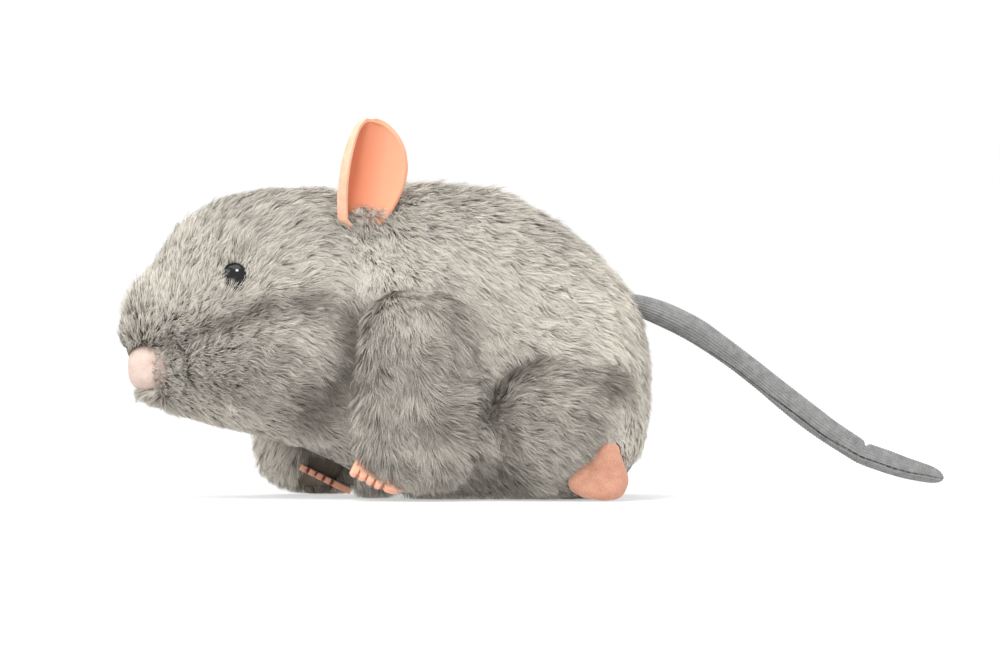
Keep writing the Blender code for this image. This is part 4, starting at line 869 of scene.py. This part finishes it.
PAW_ROW = np.array([0.894, 0.0, -0.447])
PAW_CENTRE = {"left": np.array([-52.5, -46.0, 9.0]), "right": np.array([-72.3, 39.2, 5.6])}
PAW_TOES = {"left": np.array([-0.30, -0.75, -0.60]), "right": np.array([0.0, -1.0, 0.0])}
PAW_SIZE, TOES, TOE_WIDTH = (20.0, 12.0, 2.2), 4, 3.1


def foreleg(label, seed):
    """A stuffed foreleg: its backing and the pile over it, bare where the paw is sewn on."""
    side = -1 if label == "left" else 1
    x, z, lean = SHOULDER[label]
    down = np.concatenate([np.linspace(-13, -8, 6), np.linspace(-7, 47, 34), np.linspace(48, 55, 9)])
    half_width = smooth_line(FORELEG_SECTIONS[:, 0], FORELEG_SECTIONS[:, 1], down)
    half_thickness = smooth_line(FORELEG_SECTIONS[:, 0], FORELEG_SECTIONS[:, 2], down)
    turn = full_turn(48)
    power = 2 / FORELEG_SQUARENESS
    local_x = half_width[:, None] * signed_power(np.cos(turn), power)
    local_y = half_thickness[:, None] * signed_power(np.sin(turn), power)
    local_z = -down[:, None] + 0 * local_x
    angle = math.radians(lean)
    rings = np.stack(
        [
            x + local_x * math.cos(angle) + local_z * math.sin(angle),
            side * (FORELEG_Y - 4.5 * fade(down, 6, -13)[:, None] ** 1.5) + local_y,
            z - local_x * math.sin(angle) + local_z * math.cos(angle),
        ],
        axis=2,
    )
    normals = ring_normals(rings)
    centre = rings.mean(axis=1, keepdims=True)
    if ((rings - centre) * normals).sum() < 0:
        normals = -normals
    rings = rings + normals * (0.4 * waves(rings.reshape(-1, 3), 13.0, 21).reshape(*rings.shape[:2], 1))
    body = "foreleg_" + label
    skin = closed_loft(body + "_skin", rings, [BACKING], body, [body])
    rng = np.random.default_rng(seed)
    grid, out_grid = closed_grid(rings), closed_grid(normals)
    roots, out = sample_grid(grid, out_grid, int(grid_area(grid) * DENSITY * 1.05), rng)
    depth = -((roots[:, 2] - z) * math.cos(angle) + (roots[:, 0] - x) * math.sin(angle))
    if label == "left":
        comb = combed(roots, FORELEG_COMB, 40.0)
        swirl = 0.55 * waves(roots, 13.0, 44)
        comb = turned_by(comb, np.broadcast_to([0.0, 1.0, 0.0], comb.shape), swirl)
    else:
        comb = np.stack([-0.12 + 0.02 * (roots[:, 0] + 75), 0 * depth, -1 + 0 * depth], axis=1)
    length = np.interp(depth, [-13, 0, 30, 50, 55], [5.5, 8.0, 8.5, 7.5, 5.0])
    lift = np.interp(depth, [-13, 0, 40, 50, 55], [16, 30, 33, 30, 18])
    under = fade(roots[:, 2], 8.0, 2.0)
    if label == "left":
        length, lift = length * (1 - 0.35 * under), lift * (1 - 0.55 * under)
    inward = np.clip(-side * out[:, 1], 0, 1)
    length = length * (1 - 0.35 * inward)
    front = fade(roots[:, 0], -79, -87) if label == "right" else 0.0
    # Painted shade: the foreleg's pile is darker than the body's, and darker again on its inward side;
    # painted light: lighter on the front of the right foreleg.
    tone = 0.22 + 0.22 * mottled(roots, 14.0, 9) - 0.16 * inward + 0.9 * front
    offset = roots - PAW_CENTRE[label]
    beside, forward = offset @ unit(PAW_ROW), offset @ unit(PAW_TOES[label])
    hidden = (np.abs(beside) < 9.5) & (forward > -1.0) & (np.linalg.norm(offset, axis=1) < 12)
    kept = ~(hidden & (beside < 3.0))
    over_paw = np.exp(-(((beside - 1.0) / 7) ** 2 + ((forward + 4) / 5) ** 2))
    lift = lift * (1 - 0.3 * over_paw)
    values = [v[kept] for v in (roots, out, comb, length, lift, tone)]
    grow(body + "_pile", values, body, seed + 100)


FOOT_CENTRE, FOOT_THICKNESS = np.array([23.4, 47.6, 9.2]), 2.5
FOOT_OUTLINE = np.array(
    [
        # x and z of points round the hind foot's felt, from its heel over the top
        (33.7, 6.2), (32.6, 12.2), (31.2, 16.0), (30.0, 19.6), (27.4, 21.2), (24.6, 21.3), (21.8, 19.8),
        (19.0, 15.2), (15.0, 11.4), (12.7, 8.0), (13.2, 4.8), (17.0, 1.9),
        (22.0, 0.7), (27.0, 0.4), (31.6, 2.0),
    ]
)


def foot_radius(angle):
    """Distance from the hind foot's middle to its outline, at an angle from the rear over the top."""
    x, z = FOOT_OUTLINE[:, 0] - FOOT_CENTRE[0], FOOT_OUTLINE[:, 1] - FOOT_CENTRE[2]
    at = np.unwrap(np.arctan2(z, x))
    far = np.hypot(x, z)
    at = np.concatenate([at - 2 * math.pi, at, at + 2 * math.pi])
    return smooth_line(at, np.tile(far, 3), np.mod(angle + math.pi, 2 * math.pi) - math.pi)


def foot_reach(points):
    """How far out a point lies from the hind foot's middle, seen from the side: 1 on its outline."""
    x, z = points[:, 0] - FOOT_CENTRE[0], points[:, 2] - FOOT_CENTRE[2]
    return np.hypot(x, z) / foot_radius(np.arctan2(z, x))


def haunch(label, seed):
    """The thigh: a flattened dome of backing, with pile that leaves the foot's felt free."""
    side = -1 if label == "left" else 1
    rows, columns = 26, 64
    polar = np.radians(np.linspace(2, 104, rows))
    turn = full_turn(columns)
    centre = HAUNCH_CENTRE * np.array([1, side, 1])
    ring = np.stack(
        [
            np.sin(polar)[:, None] * np.cos(turn),
            side * np.cos(polar)[:, None] + 0 * turn,
            np.sin(polar)[:, None] * np.sin(turn),
        ],
        axis=2,
    )
    rings = centre + ring * HAUNCH_RADII
    rings[:, :, 2] = np.maximum(rings[:, :, 2], 1.9)
    normals = unit(ring / HAUNCH_RADII)
    rings = rings + normals * (0.5 * waves(rings.reshape(-1, 3), 12.0, 17).reshape(rows, columns, 1))
    name = "hind_leg_" + label
    skin = closed_loft(name + "_skin", rings, [BACKING], "body", [name])
    rng = np.random.default_rng(seed)
    grid, out_grid = closed_grid(rings), closed_grid(normals)
    roots, out = sample_grid(grid, out_grid, int(grid_area(grid) * DENSITY), rng)
    comb = np.stack([0.9 + 0 * roots[:, 0], 0 * roots[:, 0], -0.45 - 0.012 * (roots[:, 0] - 12)], axis=1)
    length = 8.0 * np.interp(roots[:, 2], [1, 8, 20], [0.5, 0.8, 1.0])
    lift = 29 * np.interp(roots[:, 2], [1, 6, 20], [0.35, 0.65, 1.0])
    rear = fade(roots[:, 0], 20, 32) * fade(roots[:, 2], 42, 34)
    length, lift = length * (1 - 0.5 * rear), lift * (1 - 0.6 * rear)
    comb[:, 0] -= 0.7 * rear
    comb[:, 2] -= 0.5 * rear
    # Painted shade: the haunch's pile is darker than the body's, and darker in its creases; painted light:
    # lighter at its rear.
    tone = 0.25 + 0.2 * mottled(roots, 14.0, 19) - 0.45 * crease(roots) + 0.5 * rear
    at_foot = foot_reach(roots)
    outer = side * out[:, 1] > 0.1
    length = np.where(outer, length * np.interp(at_foot, [1.1, 1.9], [0.5, 1.0]), length)
    hidden = (at_foot < 1.03) & outer
    inside = side * roots[:, 1] < 30
    kept = ~(hidden | inside)
    values = [v[kept] for v in (roots, out, comb, length, lift, tone)]
    grow(name + "_pile", values, "body", seed + 100)


for number, label in enumerate(("left", "right")):
    foreleg(label, 40 + number)
    haunch(label, 50 + number)


# ---------------------------------------------------------------- felt

EAR_LINES = np.array(
    [
        # height, front, strip edge, valley, rear: x of each line of the ear
        (94.6, -63.5, -61.5, -60.0, -53.5),
        (98.0, -67.2, -64.0, -60.6, -50.5),
        (105.0, -67.3, -64.2, -61.0, -46.4),
        (110.5, -66.9, -64.0, -60.9, -44.3),
        (115.5, -66.2, -63.4, -60.2, -43.6),
        (120.5, -65.1, -62.5, -59.3, -44.1),
        (125.0, -63.7, -61.3, -58.2, -45.8),
        (129.0, -61.9, -59.9, -57.2, -48.8),
        (131.4, -59.8, -58.3, -56.2, -52.0),
        (132.2, -57.8, -57.2, -56.0, -54.5),
    ]
)
EAR_DEPTH = np.array([2.0, 3.6, 5.2, 5.9, 5.9, 5.3, 4.2, 2.9, 1.6, 0.8])
EAR_Y, EAR_THICKNESS = 20.8, 1.3
EAR_EDGE_COLUMNS = 5        # of the ear's columns of faces, those on its folded front edge


def ear(label):
    """A cupped felt ear: its front edge is folded over outwards, and its hollow is open to the side."""
    side = -1 if label == "left" else 1
    heights = np.linspace(EAR_LINES[0, 0], EAR_LINES[-1, 0], 60)
    heights = np.concatenate([heights[:-6], EAR_LINES[-1, 0] - np.linspace(2.6, 0, 12) ** 2 / 2.6])
    front, strip, valley, rear = (smooth_line(EAR_LINES[:, 0], line, heights) for line in EAR_LINES.T[1:])
    depth = smooth_line(EAR_LINES[:, 0], EAR_DEPTH, heights)
    middle = side * EAR_Y
    across = np.linspace(0, 1, 30)
    keys = np.array([0.0, 0.08, 0.17, 0.34, 0.62, 0.86, 1.0])
    rows = []
    for i, height in enumerate(heights):
        span = rear[i] - valley[i]
        xs = [strip[i], front[i] + 0.15 * (strip[i] - front[i]), front[i] + 0.3]
        xs += [valley[i], valley[i] + 0.45 * span, valley[i] + 0.82 * span, rear[i]]
        outs = np.array([1.0, 0.62, 0.05, -0.62, -0.42, 0.05, 0.42]) * depth[i]
        x = smooth_line(keys, xs, across)
        y = middle + side * smooth_line(keys, outs, across)
        rows.append(np.stack([x, y, height + 0 * x], axis=1))
    points = np.stack(rows)
    mesh = mesh_of("ear", points, grid_faces(len(heights), len(across)))
    body = "ear_" + label
    on_edge = [j % (len(across) - 1) < EAR_EDGE_COLUMNS for j in range(len(mesh.polygons))]
    mesh.polygons.foreach_set("material_index", np.array(on_edge, dtype=np.int32))
    obj = add_piece(body + "_felt", mesh, [EAR_FELT, EAR_EDGE_PAINTED_LIGHT], body, [body])
    thickened(obj, EAR_THICKNESS, 0.0)
    add_bevel(obj, 0.45, 2, 50)
    applied(obj)
    obj.data.polygons.foreach_set("use_smooth", [True] * len(obj.data.polygons))
    return obj


def hind_foot(label):
    """The foot of napped felt: a soft pad, broad at the ground and narrower above."""
    node = "hind_foot_" + label
    side = -1 if label == "left" else 1
    rows, columns = 28, 72
    polar = np.linspace(0.02, math.pi - 0.02, rows)
    turn = full_turn(columns)
    out = (np.sin(polar) ** 0.6)[:, None] * foot_radius(turn)
    y = -side * (np.cos(polar) * FOOT_THICKNESS)[:, None] + 0 * turn
    rings = np.stack([out * np.cos(turn), y, out * np.sin(turn)], axis=2)
    rings = rings + FOOT_CENTRE * np.array([1, side, 1])
    rings[:, :, 1] += 0.25 * waves(rings.reshape(-1, 3), 7.0, 3).reshape(rows, columns)
    obj = closed_loft(node + "_felt", rings, [FELT_NAP], "body", [node])


# On the near paw this mark is a painted shadow of the slit between two toes; on the far paw it is red thread.
TOE_MARK = (0.5, 1.7, 1.8)   # a mark between two toes: across, along and through the felt


def forepaw(label):
    """The CAD's felt paw with softened edges, marked between the toes: painted shadow of slits near, red
    thread far.
    """
    node = "forepaw_" + label
    mesh = NODES[node].data.copy()
    mesh.materials.clear()
    mark = SLIT_SHADOW if label == "left" else RED_THREAD
    obj = add_piece(node + "_felt", mesh, [FELT, mark], "foreleg_" + label, [node])
    add_weld(obj)
    add_bevel(obj, 0.5, 3, 35)
    applied(obj)
    row = unit(PAW_ROW)
    toes = unit(PAW_TOES[label])
    normal = unit(np.cross(row, toes))
    toes = np.cross(normal, row)
    bm = bmesh.new()
    bm.from_mesh(obj.data)
    for face in bm.faces:
        face.smooth = True
        face.material_index = 0
    for toe in range(1, TOES + 1):
        shift = 0.5 * math.sin(toe * 2.3)
        middle = (-PAW_SIZE[0] / 2 + toe * TOE_WIDTH, PAW_SIZE[1] / 2 - 1.75 + 0.4 * shift, 0.5 * shift)
        local = BOX_CORNERS / 2 * np.array(TOE_MARK) * (1, 1 + 0.3 * shift, 1 - 0.5 * abs(shift)) + middle
        world_points = PAW_CENTRE[label] + local @ np.stack([row, toes, normal])
        verts = [bm.verts.new((p * MM).tolist()) for p in world_points]
        for face in BOX_FACES:
            bm.faces.new([verts[k] for k in face]).material_index = 1
    bmesh.ops.recalc_face_normals(bm, faces=bm.faces)
    bm.to_mesh(obj.data)
    bm.free()


for label in ("left", "right"):
    ear(label)
    hind_foot(label)
    forepaw(label)


# ---------------------------------------------------------------- nose and eyes

def nose():
    """The nose: a rounded knob of pale cloth, carried on under the pile behind it."""
    rows, columns = 26, 64
    polar = np.radians(np.linspace(2, 116, rows))
    turn = full_turn(columns)
    ring = np.stack(
        [
            -np.cos(polar)[:, None] + 0 * turn,
            np.sin(polar)[:, None] * np.cos(turn),
            np.sin(polar)[:, None] * np.sin(turn),
        ],
        axis=2,
    )
    reach = (np.abs(ring) ** NOSE_SQUARENESS).sum(2, keepdims=True) ** (1 / NOSE_SQUARENESS)
    rings = NOSE_CENTRE + (0.0, 0.0, 0.3) + ring / reach * (NOSE_RADII + (0.4, 0.4, 0.8))
    obj = closed_loft("nose_knit", rings, [NOSE_KNIT], "body", ["nose"])


EYE_RADIUS, EYE_HEIGHT, EYE_TOP, EYE_COLUMNS = 5.2, 3.3, 3.2, 40


def eye(label):
    """A glossy dome with a collar and a stem, seated where the CAD's eye is."""
    node = "eye_" + label
    side = -1 if label == "left" else 1
    look = np.array([-0.22, side, 0.22])
    look /= np.linalg.norm(look)
    points = np.array([v.co for v in NODES[node].data.vertices]) / MM
    along = points @ look
    top = along.max()
    seat = points[along > top - EYE_HEIGHT].mean(0)
    seat = seat - look * (seat @ look - (top - EYE_TOP))
    first = np.cross(look, [0, 0, 1.0])
    first /= np.linalg.norm(first)
    second = np.cross(look, first)
    steps = np.linspace(0, math.pi / 2, 14)
    profile = [(EYE_RADIUS * math.sin(a), EYE_HEIGHT * math.cos(a)) for a in steps[1:]]
    profile += [(4.7, -0.5), (1.6, -0.6), (1.6, -8.0)]
    turn = full_turn(EYE_COLUMNS)
    rings = []
    for radius, height in profile:
        circle = radius * (np.cos(turn)[:, None] * first + np.sin(turn)[:, None] * second)
        rings.append(seat + look * height + circle)
    rings = np.stack(rings)
    obj = closed_loft(node + "_dome", rings, [EYE], "body", [node])
    obj.data.vertices[len(rings) * EYE_COLUMNS].co = Vector(((seat + look * EYE_TOP) * MM).tolist())


def ear_tufts(rng):
    """Loose hair in the hollow of each ear."""
    for side, label in ((-1, "left"), (1, "right")):
        count = 36
        x = rng.uniform(-61.5, -54.0, count)
        roots = np.stack([x, side * rng.uniform(20.5, 24.5, count), 98.8 - 0.16 * (x + 58)], axis=1)
        out = np.broadcast_to(unit(np.array([0.0, side * 0.75, 0.65])), (count, 3))
        comb = np.stack([0.1 + 0.12 * (x + 60) + rng.normal(0, 0.45, count), 0 * x, 1 + 0 * x], axis=1)
        length = rng.uniform(1.4, 4.6, count) * np.interp(x, [-60, -56, -54], [0.8, 1.1, 0.6])
        lift = rng.uniform(28, 60, count)
        tone = rng.uniform(0.3, 0.8, count)
        pile("ear_tuft_" + label, roots, out, comb, length, lift, tone, "body", 90 - side)


CHIN_THREAD_X, CHIN_THREAD_Z = -104.7, 36.5


def chin_thread(rng):
    """The light end of thread under the chin."""
    angles = np.linspace(90, 180, 200)
    line = body_surface(CHIN_THREAD_X + 0 * angles, angles)
    spot = line[np.argmin(np.abs(line[:, 2] - CHIN_THREAD_Z))]
    count = 26
    roots = spot + rng.normal(0, 0.35, (count, 3))
    out = np.broadcast_to(unit(np.array([0.0, -0.8, -0.6])), (count, 3))
    roots = roots + 2.2 * out
    comb = np.stack([rng.normal(0, 0.35, count), 0 * roots[:, 0], -1 + 0 * roots[:, 0]], axis=1)
    length = rng.uniform(4.5, 6.5, count)
    pile("chin_thread", roots, out, comb, length, np.full(count, 50.0), np.full(count, 0.99), "body", 95, 0.2)


SNOUT_X, SNOUT_Z, SNOUT_BULGE = -140.2, 56.5, 2.0
SNOUT_HALF_WIDTH, SNOUT_HALF_HEIGHT = 6.2, 8.2


def snout_points(far, at):
    """Points of the patch over the nose, by share of its radius and by angle."""
    x = SNOUT_X - SNOUT_BULGE * (1 - far**2) + 0 * at
    y = SNOUT_HALF_WIDTH * far * np.cos(at)
    z = SNOUT_Z + SNOUT_HALF_HEIGHT * far * np.sin(at)
    return np.stack([x, y, z], axis=-1)


def snout():
    """The small round patch that closes the plush over the nose, with its pile."""
    share = np.linspace(0.02, 1.0, 9)
    turn = full_turn(40)
    rings = snout_points(share[:, None], turn)
    mesh = mesh_of("snout", rings, grid_faces(len(share), len(turn), closed=True))
    patch = add_piece("snout_patch", mesh, [BACKING], "body")
    thickened(patch, 1.0)
    rng = np.random.default_rng(66)
    count = 1500
    far, at = np.sqrt(rng.uniform(0, 1, count)), rng.uniform(0, 2 * math.pi, count)
    roots = snout_points(far, at)
    roots = roots[roots[:, 2] > SNOUT_Z - 4]
    out = unit(np.stack([-1.0 + 0 * roots[:, 0], 0.10 * roots[:, 1], 0.05 * (roots[:, 2] - SNOUT_Z)], axis=1))
    comb = np.stack([0 * roots[:, 0], 0.35 * roots[:, 1], 0.5 + 0.22 * np.abs(roots[:, 2] - 50)], axis=1)
    length = rng.uniform(3.0, 4.6, len(roots))
    lift = np.interp(roots[:, 2], [52, 58, 64], [24, 34, 34])
    # Painted light: the snout's pile is lighter, like the lit muzzle round it.
    pile("snout_pile", roots, out, comb, length, lift, 0.62 + 0 * lift, "body", 99)


FRINGE_START, FRINGE_END = {"left": -45.0, "right": -62.0}, 27.0
FRINGE_DENSITY = 44         # strands per millimetre along the belly


def skirts():
    """Longer pile along each side of the belly, which hangs down over the edge of the motor's tray."""
    rng = np.random.default_rng(88)
    for side, label in ((-1, "left"), (1, "right")):
        start = FRINGE_START[label]
        count = int((FRINGE_END - start) * FRINGE_DENSITY)
        x = rng.uniform(start, FRINGE_END, count)
        across = TRAY_HIGH[1] + rng.uniform(1.0, 4.5, count)
        height = np.interp(x, [-62, -50, -36, 18, 28], [9.0, 6.0, 4.6, 4.6, 9.5])
        height = height + rng.uniform(-0.4, 0.8, count)
        roots = np.stack([x, side * across, height], axis=1)
        out = np.broadcast_to(unit(np.array([0.0, side * 0.75, -0.65])), (count, 3))
        comb = np.stack([0.45 + rng.normal(0, 0.3, count), 0 * x, -1 + 0 * x], axis=1)
        length = rng.uniform(4.5, 7.0, count)
        # Painted shade: the fringe's pile is dark, as the shade under the belly.
        tone = 0.18 + 0.16 * mottled(roots, 14.0, 19)
        pile("belly_fringe_" + label, roots, out, comb, length, 38 + 0 * x, tone, "body", 97 + side)


nose()
loose_hair = np.random.default_rng(77)
ear_tufts(loose_hair)
chin_thread(loose_hair)
snout()
skirts()
for label in ("left", "right"):
    eye(label)


# ---------------------------------------------------------------- tail

TAIL_LINE = np.array(
    [
        # x, z and radius
        (30.5, 69.2, 1.8), (34, 68.4, 3.0), (38.5, 67.2, 3.6), (42.4, 65.9, 3.9), (50, 62.6, 4.25),
        (57.8, 58.5, 4.25), (65.5, 53.3, 4.0), (73.2, 47.7, 3.85), (81, 41.6, 3.85), (88.7, 35.3, 4.1),
        (96.4, 29.2, 4.25), (104.1, 23.5, 4.05), (111.9, 18.4, 3.95), (115.9, 15.9, 3.85),
        (119.6, 14.4, 3.85), (123.4, 13.1, 3.85), (131.1, 10.5, 3.55), (139, 8.4, 2.95),
        (142.2, 7.5, 2.2), (143.8, 7.15, 1.3), (144.5, 7.1, 0.3),
    ]
)
TAIL_FLATNESS = np.array([(30, 1.0), (96, 1.0), (111, 0.95), (118, 0.72), (130, 0.6), (144.5, 0.55)])
TAIL_RIBS, TAIL_COURSE = 26, 0.95      # lengthwise ribs round it, and the height of one row of stitches
TAIL_KINK_X = 115.9
TAIL_SEAM = np.array(
    [
        # x, and the seam's angle round the tail from its far side, over the top
        (30, -104), (54, -116), (79, -131), (94, -144), (108, -150), (128, -160), (145, -166),
    ]
)


def tail():
    """The knitted tail: a ribbed tube, kinked where its tip is sewn flat, with a seam low on one side."""
    x = np.concatenate([np.linspace(30.5, 142, 430), np.linspace(142.1, 144.5, 20)])
    z = smooth_line(TAIL_LINE[:, 0], TAIL_LINE[:, 1], x)
    radius = smooth_line(TAIL_LINE[:, 0], TAIL_LINE[:, 2], x)
    flat = smooth_line(TAIL_FLATNESS[:, 0], TAIL_FLATNESS[:, 1], x)
    line = np.stack([x, 0 * x, z], axis=1)
    along = unit(np.gradient(line, axis=0))
    up = np.cross(np.array([0, 1.0, 0]), along)
    up *= np.sign(up[:, 2:3])
    gone = np.concatenate([[0.0], np.cumsum(np.linalg.norm(np.diff(line, axis=0), axis=1))])
    turn = full_turn(6 * TAIL_RIBS)
    rib = turn * TAIL_RIBS + 0.5 * np.sin(gone[:, None] * 0.11)
    course = gone[:, None] * 2 * math.pi / TAIL_COURSE + 2.2 * np.abs(np.sin(rib / 2))
    knit = 0.17 * np.cos(rib) + 0.10 * np.cos(course) * (1 + 0.5 * np.cos(rib))
    seam = np.radians(smooth_line(TAIL_SEAM[:, 0], TAIL_SEAM[:, 1], x))[:, None]
    seam = seam + 0.05 * np.sin(gone[:, None] * 0.23)
    from_seam = np.angle(np.exp(1j * (turn - seam)))
    knit = knit - 0.75 * np.exp(-((from_seam / 0.085) ** 2))
    knit = knit + 0.2 * np.exp(-(((np.abs(from_seam) - 0.2) / 0.09) ** 2))
    kink = np.exp(-(((x - TAIL_KINK_X) / 0.9) ** 2))[:, None] * np.clip(np.sin(turn), 0, 1)
    reach = (radius[:, None] + knit * np.clip(radius[:, None] / 2.5, 0, 1)) * (1 - 0.32 * kink)
    across = (np.cos(turn) * flat[:, None] * reach)[:, :, None] * np.array([0, 1.0, 0])
    rings = line[:, None, :] + across + (np.sin(turn) * reach)[:, :, None] * up[:, None, :]
    obj = closed_loft("tail_knit", rings, [TAIL_KNIT, TAIL_THREAD], None, [])
    at_seam = (np.abs(from_seam) < 0.05) & ((x[:, None] < 104) | (np.sin(gone[:, None] * 2.6) > -0.35))
    faces = (len(x) - 1) * len(turn)
    of_thread = np.zeros(len(obj.data.polygons), dtype=np.int32)
    of_thread[:faces] = at_seam[:-1].ravel()
    obj.data.polygons.foreach_set("material_index", of_thread)
    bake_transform(obj)
    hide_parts("tail_sleeve", "tail_tip")


tail()
for node, depth, size in (
    ("stuffing", 0.5, 9.0),
    ("foreleg_fill_left", 0.4, 7.0),
    ("foreleg_fill_right", 0.4, 7.0),
    ("hind_fill_left", 0.4, 7.0),
    ("hind_fill_right", 0.4, 7.0),
    ("tail_filling", 0.2, 4.0),
):
    lumpy(node, BODY_OF[node], depth, size)


# ---------------------------------------------------------------- motor

SLOTS = {part["node"]: part["material_slot"] for part in frame["record"]["subparts"]}
for node, obj in NODES.items():
    if obj.hide_render:
        continue
    material = HARD.get(SLOTS.get(node), STEEL)
    obj.data.materials.clear()
    obj.data.materials.append(material)


# ---------------------------------------------------------------- floor, light and camera

AIM = Vector((-0.01085, 0.0, 0.05775))
CAMERA_AWAY, CAMERA_UP = 6.0, math.radians(1.0)
SENSOR_WIDTH, VIEW_WIDTH = 36.0, 0.350      # in millimetres, and in metres at the toy
FLOOR_RADIUS, FLOOR_SIDES = 20000.0, 96


def floor():
    n = Nodes("floor")
    grain = n.noise(3.0)
    colour = n.ramp(grain, [(0.3, (0.42, 0.42, 0.42)), (0.7, (0.44, 0.44, 0.44))])
    n.set(Base_Color=colour, Roughness=0.9, Emission_Color=(1.0, 1.0, 1.0, 1.0), Emission_Strength=0.5)
    turn = full_turn(FLOOR_SIDES)
    ring = np.stack([np.cos(turn), np.sin(turn), 0 * turn], axis=1) * FLOOR_RADIUS
    mesh = mesh_of("floor", ring, [tuple(range(FLOOR_SIDES))], smooth=False)
    mesh.materials.append(n.material)
    obj = bpy.data.objects.new("floor", mesh)
    bpy.context.scene.collection.objects.link(obj)


def softbox(name, place, aim, size, power, colour=(1, 1, 1)):
    data = bpy.data.lights.new(name, "AREA")
    data.shape = "RECTANGLE"
    data.size, data.size_y = size
    data.energy = power
    data.color = colour
    obj = bpy.data.objects.new(name, data)
    obj.location = place
    obj.rotation_euler = (Vector(aim) - Vector(place)).to_track_quat("-Z", "Y").to_euler()
    bpy.context.scene.collection.objects.link(obj)


def camera():
    data = bpy.data.cameras.new("camera")
    data.sensor_width = SENSOR_WIDTH
    data.lens = SENSOR_WIDTH * CAMERA_AWAY / VIEW_WIDTH
    data.clip_start, data.clip_end = 0.1, 60.0
    obj = bpy.data.objects.new("camera", data)
    obj.location = AIM + Vector((0.0, -CAMERA_AWAY, CAMERA_AWAY * math.tan(CAMERA_UP)))
    obj.rotation_euler = (AIM - obj.location).to_track_quat("-Z", "Y").to_euler()
    bpy.context.scene.collection.objects.link(obj)
    bpy.context.scene.camera = obj


def world():
    made = bpy.data.worlds.new("studio")
    made.use_nodes = True
    background = made.node_tree.nodes["Background"]
    background.inputs["Color"].default_value = (1.0, 1.0, 1.0, 1.0)
    background.inputs["Strength"].default_value = 1.06
    bpy.context.scene.world = made
    bpy.context.scene.view_settings.view_transform = "Standard"
    bpy.context.scene.view_settings.look = "None"


floor()
softbox("top", (-0.3, -0.15, 1.3), (-0.02, 0, 0.05), (1.3, 0.9), 8.0)
softbox("front", (-0.2, -0.8, 1.05), (-0.1, -0.03, 0.08), (0.28, 0.28), 8.0)
softbox("left", (-1.1, -0.3, 0.75), (-0.1, 0, 0.07), (0.6, 0.6), 3.5)
camera()
world()
